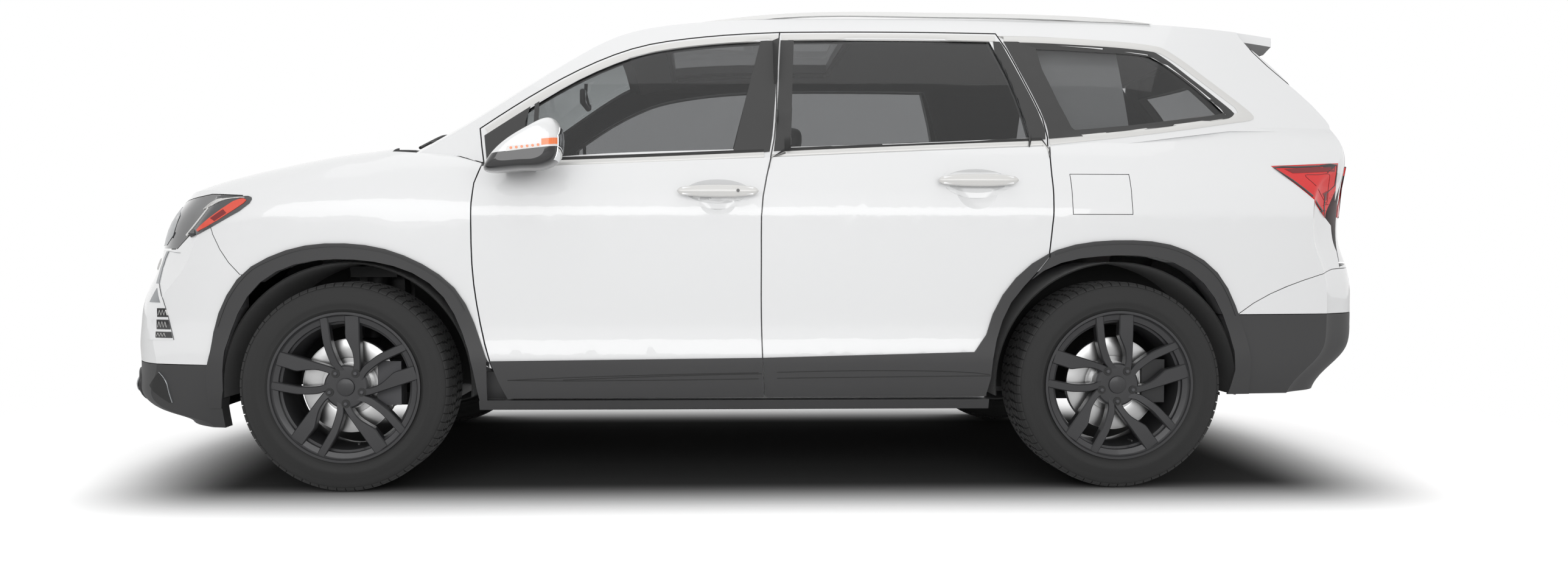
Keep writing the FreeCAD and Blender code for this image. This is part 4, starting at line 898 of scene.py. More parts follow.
@dataclass
class Studio:
    """Camera, floor and light.

    Attributes:
        eye: Camera position.
        yaw: Turn towards the tail in radians.
        pitch: Tilt upwards in radians.
        lens: Focal length for a 36 mm sensor.
        shift: Shift of the frame.
        floor_size: Half width of the floor.
        floor_seen: Level of the floor for the camera, so that the open floor is white.
        contact: Level that is left of it under the car, where the painted shadow is black.
        near: Distance from the middle where the floor starts to turn plain white.
        far: Distance where it is plain white.
        tone: Level of the floor for the light.
        shadows: For X and Y, middle, half size and softness of the painted ground shadow.
        dim: Level of the background's light on the car.
    """

    eye: Triple = (-0.189, -4.8747, 0.8492)
    yaw: float = 0.0269
    pitch: float = -0.0332
    lens: float = 24.83
    shift: Point = (0.0320, 0.0050)
    floor_size: float = 60.0
    floor_seen: float = 1.65
    contact: float = 0.06
    near: float = 2.6
    far: float = 4.2
    tone: float = 0.88
    shadows: tuple[Triple, Triple] = ((0.02, 2.28, 0.37), (-0.08, 1.07, 0.34))
    dim: float = 0.62

    def camera(self) -> None:
        """Place the camera where the photograph was taken."""
        data = bpy.data.cameras.new("camera")
        data.lens = self.lens
        data.sensor_width = 36.0
        data.shift_x, data.shift_y = self.shift
        camera = linked("camera", data)
        camera.location = self.eye
        camera.rotation_euler = (math.radians(90.0) + self.pitch, 0.0, -self.yaw)
        bpy.context.scene.camera = camera

    def floor(self) -> None:
        """Lay the pale floor."""
        s = self.floor_size
        mesh = bpy.data.meshes.new("floor")
        mesh.from_pydata([(-s, -s, -0.001), (s, -s, -0.001), (s, s, -0.001), (-s, s, -0.001)], [],
                         [(0, 1, 2, 3)])
        plane = linked("floor", mesh)
        material = bpy.data.materials.new("studio_floor")
        material.use_nodes = True
        kit = Tree(material.node_tree)
        camera = kit.add("ShaderNodeLightPath").outputs["Is Camera Ray"]
        tone = kit.mix(camera, self.tone, self.shadow(kit), "FLOAT")
        shader = kit.add("ShaderNodeBsdfDiffuse", {"Color": tone})
        reach = kit.add("ShaderNodeVectorMath", {0: kit.place()}, operation="LENGTH")
        far = kit.add("ShaderNodeMapRange", {"From Min": self.near, "From Max": self.far,
                                             "Value": reach.outputs["Value"]},
                      interpolation_type="SMOOTHSTEP")
        seen = kit.math("MULTIPLY", far.outputs["Result"], camera)
        white = kit.add("ShaderNodeEmission")
        mix = kit.add("ShaderNodeMixShader", {0: seen, 1: shader.outputs[0], 2: white.outputs[0]})
        kit.feed(material.node_tree.nodes["Material Output"], {"Surface": mix.outputs[0]})
        mesh.materials.append(material)

    def shadow(self, kit: Tree) -> bpy.types.NodeSocket:
        """Level of the floor for the camera, with a painted shadow that darkens it under the car's outline.

        Args:
            kit: Tree helper of the floor's material.

        Returns:
            The socket that holds the level.
        """
        # Painted shadow: a soft mask of the car's outline darkens the colour that the camera sees.
        masks = []
        for axis, (middle, half, soft) in zip(kit.axes(), self.shadows):
            size = kit.math("ABSOLUTE", kit.math("SUBTRACT", axis, middle))
            edge = kit.add("ShaderNodeMapRange", {"From Min": half + soft, "From Max": half - soft,
                                                  "Value": size}, interpolation_type="SMOOTHSTEP")
            masks.append(edge.outputs["Result"])
        level = kit.add("ShaderNodeMapRange", {"To Min": self.floor_seen, "To Max": self.contact,
                                               "Value": kit.math("MULTIPLY", *masks)})
        return level.outputs["Result"]

    def world(self) -> None:
        """White background and soft light from all round."""
        world = bpy.data.worlds.new("studio")
        world.use_nodes = True
        bpy.context.scene.world = world
        kit = Tree(world.node_tree)
        path = kit.add("ShaderNodeLightPath").outputs
        seen = kit.math("MAXIMUM", path["Is Camera Ray"], path["Is Glossy Ray"])
        through = kit.math("MAXIMUM", seen, path["Is Transmission Ray"])
        level = kit.math("MULTIPLY_ADD", through, 1.0 - self.dim, self.dim)
        kit.feed(world.node_tree.nodes["Background"], {"Strength": level, "Color": (1.0, 1.0, 1.0, 1.0)})

    def lamps(self) -> None:
        """Hang two large soft lamps."""
        for name, place, aim, size, power in (
                ("overhead", (0.0, -0.6, 5.2), (0.0, 0.0, 0.6), (7.0, 4.5), 46.0),
                ("left_fill", (-0.6, -7.0, 2.4), (0.0, 0.0, 0.8), (9.0, 2.5), 152.0)):
            data = bpy.data.lights.new(name, "AREA")
            data.shape = "RECTANGLE"
            data.size, data.size_y = size
            data.energy = power
            lamp = linked(name, data)
            lamp.location = place
            way = Vector(aim) - Vector(place)
            lamp.rotation_euler = way.to_track_quat("-Z", "Y").to_euler()

    def build(self) -> None:
        """Set the whole stage."""
        bpy.context.scene.view_settings.view_transform = "Standard"
        self.camera()
        self.floor()
        self.world()
        self.lamps()


@dataclass
class Shell:
    """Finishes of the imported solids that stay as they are.

    Attributes:
        looks: Finish of each material slot of the record.
    """

    looks: dict[str, Look] = field(default_factory=lambda: {
        "paint": Look.PAINT, "cladding": Look.CLADDING, "glass": Look.GLASS,
        "lamp_glass": Look.LENS, "lamp_red": Look.RED_LENS, "grille": Look.GLOSS_BLACK,
        "tyre": Look.RUBBER, "alloy": Look.ALLOY, "disc": Look.STEEL, "hub": Look.CAST,
        "chassis": Look.CHASSIS, "floor": Look.FLOOR, "engine": Look.ENGINE,
        "exhaust": Look.EXHAUST, "liner": Look.LINER, "seat": Look.LEATHER,
        "interior": Look.SOFT_TRIM})

    def build(self) -> None:
        """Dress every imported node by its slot."""
        slots = {part["node"]: part["material_slot"] for part in frame["record"]["subparts"]}
        for name, node in frame["nodes"].items():
            wear(node, self.looks[slots[name]])
        wear(frame["nodes"]["windscreen"], Look.SCREEN)
        wear(frame["nodes"]["roof_rails"], Look.RAIL)
        wear(frame["nodes"]["headlamps"], Look.LAMP_CASE)
        log.info("dressed %d packed nodes", len(frame["nodes"]))


@dataclass
class Wheel:
    """One road wheel: tyre with its tread, cast wheel, nuts, cap, disc face and valve.

    Attributes:
        corner: Key of the corner.
        radius: Tyre radius.
        width: Tyre width.
        bead: Radius of the tyre's bead.
        rim_radius: Radius of the wheel's lip.
        barrel: Radius of the barrel.
        rim_width: Width of the cast wheel.
        pitch: Number of tread blocks round the tyre.
        track: Distance of the wheel's middle from the car's middle.
        tread: Depth of the tread.
        spokes: Number of pairs of spokes, and of nuts.
        studs: Radius of the circle of nuts.
    """

    corner: str
    radius: float = 0.380
    width: float = 0.245
    bead: float = 0.256
    rim_radius: float = 0.2728
    barrel: float = 0.236
    rim_width: float = 0.236
    pitch: int = 72
    track: float = 0.842
    tread: float = 0.0075
    spokes: int = 5
    studs: float = 0.061

    @property
    def side(self) -> float:
        """Minus one on the left and one on the right."""
        return CORNERS[self.corner][1]

    @property
    def centre(self) -> Triple:
        """Centre of the wheel."""
        return (CORNERS[self.corner][0] + MID, self.side * self.track, self.radius)

    def placed(self, piece: bpy.types.Object) -> bpy.types.Object:
        """Move a piece made round the origin to this wheel.

        Args:
            piece: Piece whose outer face looks towards -Y.

        Returns:
            The same piece.
        """
        turn = Matrix.Identity(4) if self.side < 0 else Matrix.Rotation(math.pi, 4, "Z")
        piece.data.transform(Matrix.Translation(Vector(self.centre)) @ turn)
        return piece

    def tyre(self) -> bpy.types.Object:
        """Build carcass, sidewall steps, tread blocks and shoulder blocks.

        Returns:
            The tyre.
        """
        h, r = self.width / 2.0, self.radius
        tread = r - self.tread
        outer = [(self.bead, 0.80 * h), (self.bead + 0.004, 0.86 * h), (0.279, 0.905 * h),
                 (0.284, 0.93 * h), (0.288, 0.925 * h), (0.300, 0.975 * h), (0.313, 0.995 * h),
                 (0.3155, 0.985 * h), (0.330, 0.992 * h), (0.3325, 0.980 * h), (0.346, 0.968 * h),
                 (0.357, 0.940 * h), (0.3650, 0.900 * h), (0.3700, 0.850 * h), (tread, 0.78 * h),
                 (tread, 0.62 * h)]
        inner = [(tread, -0.62 * h), *[(a, -b) for a, b in reversed(outer[:-1])]]
        inside = [(self.bead, -0.72 * h), (0.30, -0.86 * h), (0.345, -0.84 * h), (0.360, -0.70 * h),
                  (0.360, 0.70 * h), (0.345, 0.84 * h), (0.30, 0.86 * h), (self.bead, 0.72 * h)]
        carcass = turned("carcass", outer + inner + inside, (0.0, 0.0, 0.0), Look.RUBBER, 128)
        parts = [carcass]
        step = math.tau / self.pitch
        rows = ((-0.62, -0.36, 0.16), (-0.31, -0.05, 0.30), (0.02, 0.28, -0.30), (0.33, 0.60, -0.16))
        for low, high, slant in rows:
            parts.append(self.blocks(low * h, high * h, tread, r, step, slant))
        for sign in (-1.0, 1.0):
            parts.append(self.shoulder(sign, h, step))
        return self.placed(joined(f"tyre_{self.corner}_tread", parts))

    def blocks(self, low: float, high: float, foot: float, top: float, step: float,
               slant: float) -> bpy.types.Object:
        """Repeat one slanted tread block round the tyre.

        Args:
            low: Near side of the block along the axle.
            high: Far side of the block.
            foot: Radius of the block's foot.
            top: Radius of the block's top.
            step: Angle between two blocks.
            slant: How far the far side runs ahead, in steps.

        Returns:
            The ring of blocks.
        """
        points = []
        for radius, gap in ((foot - 0.002, 0.10), (top, 0.16)):
            for y, lead in ((low, 0.0), (high, slant)):
                for edge in (gap, 1.0 - gap):
                    a = (edge + lead) * step
                    points.append((radius * math.sin(a), y, radius * math.cos(a)))
        return self.tread_ring("block", points, BOX_FACES)

    def tread_ring(self, name: str, points: Sequence[Triple],
                   faces: Sequence[Sequence[int]]) -> bpy.types.Object:
        """Repeat one rubber block round the tyre.

        Args:
            name: Name of the block.
            points: Its corners.
            faces: Corner numbers of its faces.

        Returns:
            The ring of blocks.
        """
        block = facing_out(new_piece(name, points, faces, Look.RUBBER, smooth=False))
        return repeated(block, radial_tree(), {"Count": self.pitch, "Finish": Look.RUBBER.material()})

    def shoulder(self, sign: float, half: float, step: float) -> bpy.types.Object:
        """Repeat one shoulder block that wraps from the tread to the sidewall.

        Args:
            sign: Side of the tyre along the axle.
            half: Half the tyre's width.
            step: Angle between two blocks.

        Returns:
            The ring of blocks.
        """
        run = [(0.370, 0.64), (0.3795, 0.66), (0.3785, 0.78), (0.3750, 0.865), (0.3695, 0.910),
               (0.3655, 0.918), (0.3620, 0.890), (0.366, 0.82)]
        points = []
        for edge in (0.06, 0.94):
            points += [(rad * math.sin(edge * step), sign * share * half, rad * math.cos(edge * step))
                       for rad, share in run]
        return self.tread_ring("shoulder", points, run_faces(2, len(run)))

    def spoke(self, stations: Sequence[Triple], crown: float) -> bpy.types.Object:
        """Build one spoke with a flat face and chamfered edges.

        Args:
            stations: Left edge, right edge and distance from the axle of each station in metres.
            crown: How far the face falls back at the hub.

        Returns:
            The spoke.
        """
        face = -(self.rim_width / 2.0 - 0.009)
        points: list[Triple] = []
        line = smooth_path(stations, 4)
        for left, right, out in line:
            dish = face + crown * (1.0 - out / self.rim_radius) ** 2
            for u, depth in ((left, 0.034), (left, 0.0045), (left + 0.0035, 0.0), (right - 0.0035, 0.0),
                             (right, 0.0045), (right, 0.034)):
                points.append((u, dish + depth, out))
        faces = run_faces(len(line), len(points) // len(line))
        return sharp_edges(facing_out(new_piece("spoke", points, faces, Look.ALLOY)), 25.0)

    def cast(self) -> bpy.types.Object:
        """Build barrel, lip, hub and the five pairs of spokes.

        Returns:
            The cast wheel.
        """
        h = self.rim_width / 2.0
        lip = self.rim_radius
        barrel = turned("barrel", [
            (lip, -h), (lip, -h + 0.006), (lip - 0.006, -h + 0.010), (self.barrel + 0.004, -h + 0.016),
            (self.barrel, -h + 0.03), (self.barrel - 0.012, -h + 0.09), (self.barrel - 0.004, h - 0.03),
            (self.barrel + 0.004, h - 0.014), (lip - 0.006, h - 0.009), (lip, h - 0.006), (lip, h),
            (lip - 0.010, h), (self.barrel - 0.006, h - 0.02), (self.barrel - 0.018, h - 0.10),
            (self.barrel - 0.018, -h + 0.09), (self.barrel - 0.006, -h + 0.03), (lip - 0.012, -h + 0.010),
            (lip - 0.0085, -h)], (0.0, 0.0, 0.0), Look.ALLOY, 120)
        reach = lip - 0.0105
        narrow = self.spoke([(-0.022, 0.016, 0.040), (-0.040, -0.006, 0.068), (-0.056, -0.025, 0.092),
                             (-0.075, -0.045, 0.148), (-0.082, -0.051, 0.190), (-0.087, -0.056, 0.237),
                             (-0.089, -0.058, 0.252)], 0.020)
        wide = self.spoke([(0.012, 0.050, 0.040), (0.026, 0.054, 0.068), (0.0295, 0.055, 0.092),
                           (0.026, 0.055, 0.125), (0.012, 0.055, 0.160), (0.002, 0.055, 0.185),
                           (0.002, 0.055, 0.220), (0.001, 0.055, reach - 0.004)], 0.020)
        values = {"Count": self.spokes, "Finish": Look.ALLOY.material()}
        parts = [barrel, repeated(narrow, radial_tree(), values), repeated(wide, radial_tree(), values)]
        face = -(h - 0.022)
        parts.append(turned("hub", [(0.0, face), (0.040, face), (0.060, face - 0.001), (0.074, face),
                                    (0.080, face + 0.006), (0.080, face + 0.052), (0.0, face + 0.052)],
                            (0.0, 0.0, 0.0), Look.ALLOY, 60))
        return self.placed(joined(f"wheel_{self.corner}_cast", parts))

    def small_parts(self) -> bpy.types.Object:
        """Build nuts, dark discs of painted shade round them, centre cap and valve.

        Returns:
            The small parts.
        """
        face = -(self.rim_width / 2.0 - 0.0205)
        # Dark discs round the nuts are painted shade that stands in for the pockets they sit in.
        pocket_shade = turned("pocket_shade", [(0.0, -0.0005), (0.0150, -0.0005), (0.0155, 0.0005), (0.0155, 0.004),
                                   (0.0, 0.004)], (0.0, face, self.studs), Look.SEAL, 24)
        profile = [(0.0, -0.007), (0.006, -0.006), (0.0085, -0.003), (0.0095, 0.0), (0.0095, 0.004),
                   (0.0, 0.004)]
        nut = turned("nut", profile, (0.0, face, self.studs), Look.CAST, 6)
        turn = {"Count": self.spokes, "Phase": math.pi}
        nuts = joined("nuts", [repeated(pocket_shade, radial_tree(), {**turn, "Finish": Look.SEAL.material()}),
                               repeated(nut, radial_tree(), {**turn, "Finish": Look.CAST.material()})])
        cap = turned("cap", [(0.0, face - 0.006), (0.026, face - 0.005), (0.031, face - 0.003),
                             (0.033, face + 0.001), (0.033, face + 0.004), (0.0, face + 0.004)],
                     (0.0, 0.0, 0.0), Look.ALLOY, 48)
        valve = turned("valve", [(0.0, -0.035), (0.0035, -0.035), (0.004, -0.02), (0.003, 0.0),
                                 (0.0, 0.0)], (0.05, face + 0.02, -0.205), Look.SEAL, 12)
        return self.placed(joined(f"wheel_{self.corner}_small_parts", [nuts, cap, valve]))

    def disc_face(self) -> bpy.types.Object:
        """Build the bright swept ring of the brake disc.

        Returns:
            The disc face.
        """
        y = -(self.rim_width / 2.0 - 0.022 - 0.034) + 0.046 - 0.0283
        ring = turned("ring", [(0.102, y), (0.106, y - 0.0012), (0.168, y - 0.0012), (0.1705, y)],
                      (0.0, 0.0, 0.0), Look.STEEL, 96)
        return self.placed(joined(f"disc_{self.corner}_face", [ring]))

    def build(self) -> None:
        """Make the wheel and let it turn with its body."""
        body = f"wheel_{self.corner}"
        tyre = settle(self.tyre(), body)
        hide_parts(f"tyre_{self.corner}")
        cast = settle(self.cast(), body)
        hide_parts(f"rim_{self.corner}")
        settle(self.small_parts(), body)
        settle(self.disc_face(), body)


def patch(name: str, outline: Sequence[Point], place: Place, out: Sequence[float],
          thick: float, look: Look, cell: float = 0.04) -> bpy.types.Object:
    """Lay a thin sheet with a free outline over a surface.

    Args:
        name: Name of the piece.
        outline: Corners of the sheet in the flat view.
        place: Gives the surface point for a place of the flat view.
        out: Direction away from the surface.
        thick: Thickness of the sheet.
        look: Finish.
        cell: Largest size of a face.

    Returns:
        The sheet.
    """
    sheet = bmesh.new()
    corners = [sheet.verts.new((u, 0.0, v)) for u, v in outline]
    sheet.faces.new(corners)
    for i, axis in ((0, Vector((1.0, 0.0, 0.0))), (2, Vector((0.0, 0.0, 1.0)))):
        low = min(c[i == 2] for c in outline)
        high = max(c[i == 2] for c in outline)
        for k in range(1, int((high - low) / cell) + 1):
            everything = list(sheet.verts) + list(sheet.edges) + list(sheet.faces)
            bmesh.ops.bisect_plane(sheet, geom=everything, plane_co=axis * (low + k * cell),
                                   plane_no=axis)
    for vert in sheet.verts:
        vert.co = place(vert.co.x, vert.co.z)
    grown = bmesh.ops.extrude_face_region(sheet, geom=list(sheet.faces) + list(sheet.edges),
                                          use_keep_orig=True)
    for item in grown["geom"]:
        if isinstance(item, bmesh.types.BMVert):
            item.co += Vector(out) * thick
    bmesh.ops.recalc_face_normals(sheet, faces=sheet.faces)
    mesh = bpy.data.meshes.new(name)
    sheet.to_mesh(mesh)
    sheet.free()
    mesh.shade_smooth()
    piece = linked(name, mesh)
    wear(piece, look)
    return sharp_edges(piece, 40.0)


def beside(path: Sequence[Point], near: float, far: float, steps: int = 6,
           closed: bool = False) -> list[tuple[Vector, Vector]]:
    """Pairs of points at two distances to the left of a smooth flat path.

    Args:
        path: Points that the path passes.
        near: Distance of the first line.
        far: Distance of the second line.
        steps: Pieces between two points.
        closed: Whether the path is a loop.

    Returns:
        A pair of flat points for each station.
    """
    knots = smooth_path(path, steps, closed)
    pairs = []
    for i, knot in enumerate(knots):
        before = knots[i - 1] if i or closed else knot
        after = knots[(i + 1) % len(knots)] if i + 1 < len(knots) or closed else knot
        way = (after - before).normalized()
        left = Vector((-way.y, way.x))
        pairs.append((knot + left * near, knot + left * far))
    return pairs


def band(name: str, rails: Sequence[tuple[Vector, Vector]], place: Place,
         out: Sequence[float], height: float, look: Look, closed: bool = False) -> bpy.types.Object:
    """Lay a moulding with a crowned section between two lines of a surface.

    Args:
        name: Name of the piece.
        rails: Flat points of both edges at each station.
        place: Gives the surface point for a place of the flat view.
        out: Direction away from the surface.
        height: Height of the moulding.
        look: Finish.
        closed: Whether it is a loop.

    Returns:
        The moulding.
    """
    points = []
    for a, b in rails:
        for share, rise in MOULDING:
            spot = a.lerp(b, share)
            points.append(place(spot.x, spot.y) + Vector(out) * (rise * height))
    faces = run_faces(len(rails), len(MOULDING), closed)
    return sharp_edges(facing_out(new_piece(name, points, faces, look)), 45.0)


def pad(name: str, size: Triple, look: Look, swell: float = 0.012, square: float = 5.0,
        grooves: Sequence[Point] = (), depth: float = 0.008, cells: int = 22) -> bpy.types.Object:
    """Build a stuffed cushion round the origin whose top is +Z.

    Args:
        name: Name of the piece.
        size: Length, width and thickness.
        look: Finish.
        swell: How far the middle of each face crowns.
        square: Power of the rounded box; larger is squarer.
        grooves: Sewn channels as (axis 0 or 1, share of the half size).
        depth: Depth of the channels.
        cells: Faces along each edge.

    Returns:
        The cushion.
    """
    ball = bmesh.new()
    bmesh.ops.create_cube(ball, size=2.0)
    bmesh.ops.subdivide_edges(ball, edges=ball.edges, cuts=cells - 1, use_grid_fill=True)
    for vert in ball.verts:
        c = vert.co.copy()
        reach = sum(abs(v) ** square for v in c) ** (1.0 / square)
        c /= reach
        crown = [1.0 + 2.0 * swell / size[i] * (1.0 - c[(i + 1) % 3] ** 2) * (1.0 - c[(i + 2) % 3] ** 2)
                 for i in range(3)]
        spot = Vector([c[i] * size[i] / 2.0 * crown[i] for i in range(3)])
        for axis, share in grooves:
            away = (c[int(axis)] - share) * size[int(axis)] / 2.0
            if c[2] > 0.3:
                spot.z -= depth * math.exp(-(away / CHANNEL) ** 2) * min(1.0, (c[2] - 0.3) * 3.0)
        vert.co = spot
    mesh = bpy.data.meshes.new(name)
    ball.to_mesh(mesh)
    ball.free()
    mesh.shade_smooth()
    piece = linked(name, mesh)
    wear(piece, look)
    return piece


def moved(piece: bpy.types.Object, place: Sequence[float], lean: float = 0.0,
          up: bool = False) -> bpy.types.Object:
    """Put a cushion in its place.

    Args:
        piece: Cushion round the origin.
        place: Where its middle goes, X counted from the middle of the wheelbase.
        lean: Turn about the axis across the car in radians, backwards.
        up: Whether the cushion's top faces the nose, as a seat back's does.

    Returns:
        The same piece.
    """
    turn = Matrix.Rotation(lean, 4, "Y")
    if up:
        turn = turn @ Matrix.Rotation(-math.pi / 2.0, 4, "Y")
    piece.data.transform(Matrix.Translation(Vector((place[0] + MID, place[1], place[2]))) @ turn)
    return piece


def tube(name: str, path: Sequence[Sequence[float]], radius: float, look: Look, steps: int = 6,
         sides: int = 10, closed: bool = False) -> bpy.types.Object:
    """Round bar along a smooth path.

    Args:
        name: Name of the piece.
        path: Points that it passes.
        radius: Radius of the bar.
        look: Finish.
        steps: Pieces between two points.
        sides: Faces round the bar.
        closed: Whether it is a loop.

    Returns:
        The bar.
    """
    line = smooth_path(path, steps, closed)
    span = line[-1] - line[0] if not closed else line[len(line) // 3] - line[0]
    up = Vector((0.0, 0.0, 1.0)) if abs(span.normalized().z) < 0.8 else Vector((0.0, 1.0, 0.0))
    return swept(name, line, [up] * len(line), oval(sides, radius, radius), look, closed)


@dataclass
class SideTrim:
    """Belt moulding, pillar covers, handle, mirror and cladding details of one side.

    Attributes:
        side: Minus one on the left and one on the right.
        band_width: Width of the bright moulding over the windows.
        belt_width: Width of the bright moulding under them.
        belt: Lower edge of the belt moulding along the wheelbase.
        seam: Upper seam of the front door's window.
        rear_seam: Upper seam of the rear door's window.
        last_seam: Upper seam of the quarter window, round its rear corner.
    """

    side: float
    band_width: float = 0.027
    belt_width: float = 0.020
    belt: tuple[Point, ...] = ((-0.914, 1.1885), (-0.80, 1.183), (-0.62, 1.186), (-0.278, 1.199),
                               (0.137, 1.218), (0.60, 1.240), (1.144, 1.264), (1.30, 1.281),
                               (1.483, 1.301), (1.718, 1.332), (1.88, 1.357))
    seam: tuple[Point, ...] = ((-0.925, 1.329), (-0.770, 1.436), (-0.620, 1.529), (-0.472, 1.603),
                               (-0.345, 1.648), (-0.195, 1.677), (-0.017, 1.697), (0.172, 1.708))
    rear_seam: tuple[Point, ...] = ((0.186, 1.709), (0.40, 1.7125), (0.60, 1.713), (0.80, 1.712),
                                    (1.014, 1.709))
    last_seam: tuple[Point, ...] = ((1.030, 1.709), (1.20, 1.706), (1.40, 1.695), (1.52, 1.686),
                                    (1.62, 1.674), (1.672, 1.660), (1.74, 1.610), (1.83, 1.530),
                                    (1.93, 1.443), (1.975, 1.400), (1.985, 1.382), (1.965, 1.368),
                                    (1.92, 1.364))

    @property
    def key(self) -> str:
        """Letter of the side in node names."""
        return "l" if self.side < 0 else "r"

    @property
    def word(self) -> str:
        """Word of the side in piece names."""
        return "left" if self.side < 0 else "right"

    def on(self, *nodes: str) -> Place:
        """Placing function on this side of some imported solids.

        Args:
            nodes: Names of the solids.

        Returns:
            Function from a place of the side view to the surface point.
        """
        probe = Probe(*nodes)
        return lambda x, z: probe.beside(x, z, self.side)

    def door(self, letter: str) -> str:
        """Name of the door body."""
        return f"door_{letter}{self.key}"

    def windows(self) -> None:
        """Lay bright mouldings and dark pillar covers round the windows."""
        out = (0.0, self.side, 0.0)
        front = self.on(self.door("f"), self.door("f") + "_glass")
        rear = self.on(self.door("r"), self.door("r") + "_glass")
        shell = self.on(f"body_side_{self.word}", "fixed_glass")
        cut = {"front": (self.seam, front, self.door("f"), -0.912, 0.108),
               "rear": (self.rear_seam, rear, self.door("r"), 0.124, 1.157)}
        for key, (line, place, body, low, high) in cut.items():
            rails = beside(line, -self.band_width, 0.0)
            top = band(f"{key}_window_moulding_{self.word}", rails, place, out, 0.0035, Look.BRIGHT)
            belt = [(low, self.belt_at(low)), *[p for p in self.belt if low < p[0] < high],
                    (high, self.belt_at(high))]
            rails = beside(belt, 0.0, self.belt_width)
            base = band(f"{key}_belt", rails, place, out, 0.0050, Look.BRIGHT)
            rails = beside(belt, self.belt_width, self.belt_width + 0.012)
            lip = band(f"{key}_belt_lip", rails, place, out, 0.0030, Look.SEAL)
            whole = joined(f"{key}_window_mouldings_{self.word}", [top, base, lip])
            settle(whole, body)
        self.quarter(shell, out)
        self.pillars(out)

    def belt_at(self, x: float) -> float:
        """Height of the belt moulding's lower edge.

        Args:
            x: Place along the wheelbase.

        Returns:
            The height.
        """
        for (x0, z0), (x1, z1) in zip(self.belt, self.belt[1:]):
            if x0 <= x <= x1:
                return z0 + (z1 - z0) * (x - x0) / (x1 - x0)
        return self.belt[-1][1] if x > 0 else self.belt[0][1]

    def quarter(self, place: Place, out: Triple) -> None:
        """Lay the moulding and the dark border of the rear quarter window.

        Args:
            place: Placing function on the body side.
            out: Direction away from the car.
        """
        lower = [p for p in self.belt if p[0] > 1.2]
        corner = Vector((1.921, 1.401))
        wide = beside(self.last_seam[:-4], -self.band_width, 0.0)
        wide += [(corner, Vector(p)) for p in ((1.955, 1.420), (1.975, 1.400), (1.984, 1.386),
                                               (1.980, 1.376), (1.962, 1.3690))]
        wide += [(corner.lerp(Vector((1.876, 1.383)), 0.35), Vector((1.930, 1.3640)))]
        wide += beside([*reversed(lower), (1.173, 1.2668)], -0.026, 0.0)
        bright = band(f"quarter_moulding_{self.word}", wide, place, out, 0.0040, Look.BRIGHT)
        settle(bright, "body")
        outer = [(1.200, 1.2945), (1.30, 1.303), (1.483, 1.322), (1.70, 1.350), (1.885, 1.378),
                 (1.905, 1.398), (1.84, 1.462), (1.76, 1.535), (1.665, 1.622), (1.60, 1.652),
                 (1.40, 1.668), (1.20, 1.679), (1.060, 1.682)]
        inner = [(1.200, 1.3230), (1.30, 1.328), (1.483, 1.345), (1.68, 1.370), (1.835, 1.392),
                 (1.858, 1.410), (1.80, 1.462), (1.74, 1.520), (1.648, 1.600), (1.585, 1.628),
                 (1.40, 1.642), (1.20, 1.652), (1.080, 1.655)]
        pairs = list(zip(smooth_path(outer, 4), smooth_path(inner, 4)))
        border = band("border", pairs, place, out, 0.0022, Look.PILLAR)
        front = patch("front", [(1.171, 1.291), (1.300, 1.302), (1.262, 1.335), (1.222, 1.440),
                                (1.180, 1.570), (1.168, 1.660), (1.100, 1.684), (1.046, 1.684),
                                (1.0505, 1.674), (1.084, 1.585), (1.126, 1.475), (1.152, 1.402),
                                (1.1665, 1.348), (1.1710, 1.320)], place, out, 0.0055, Look.PILLAR, 0.02)
        settle(joined(f"quarter_border_{self.word}", [border, front]), "body")

    def pillars(self, out: Triple) -> None:
        """Lay the dark covers of the pillars and of the mirror's corner.

        Args:
            out: Direction away from the car.
        """
        front = self.on(self.door("f"))
        rear = self.on(self.door("r"))

        def b_front(x: float, z: float) -> Vector:
            """Surface of the front door's rear pillar, carried forwards over the glass."""
            spot = front(max(x, 0.104 + 0.1 * (z - 1.25)), z)
            return Vector((x + MID, spot.y, z))

        def b_rear(x: float, z: float) -> Vector:
            """Surface of the rear door's front pillar, carried backwards over the glass."""
            spot = rear(min(x, 0.200 + 0.030 * (z - 1.24)), z)
            return Vector((x + MID, spot.y, z))

        cover = patch("b_cover", [(-0.010, 1.222), (0.128, 1.238), (0.1395, 1.30), (0.1555, 1.463),
                                  (0.1735, 1.684), (0.104, 1.680), (0.040, 1.430)], b_front, out, 0.0022,
                      Look.PILLAR)
        corner = patch("corner", [(-0.9105, 1.206), (-0.76, 1.200), (-0.76, 1.412), (-0.80, 1.385),
                                  (-0.925, 1.300)], front, out, 0.0030, Look.PILLAR)
        bar = patch("bar", [(-0.745, 1.205), (-0.728, 1.205), (-0.728, 1.432), (-0.745, 1.421)],
                    self.on(self.door("f"), self.door("f") + "_glass"), out, 0.0030, Look.PILLAR)
        settle(joined(f"front_pillar_covers_{self.word}", [cover, corner, bar]), self.door("f"))
        one = patch("one", [(0.1435, 1.240), (0.205, 1.244), (0.218, 1.463), (0.232, 1.684),
                            (0.1815, 1.684), (0.1650, 1.463), (0.1500, 1.290)], b_rear, out, 0.0030,
                    Look.PILLAR, 0.02)
        two = patch("two", [(1.098, 1.286), (1.158, 1.289), (1.1595, 1.320), (1.1545, 1.348),
                            (1.140, 1.402), (1.114, 1.475), (1.072, 1.585), (1.037, 1.674),
                            (1.030, 1.684), (0.985, 1.684), (1.054, 1.475)], rear, out, 0.0022,
                    Look.PILLAR, 0.02)
        settle(joined(f"rear_pillar_covers_{self.word}", [one, two]), self.door("r"))

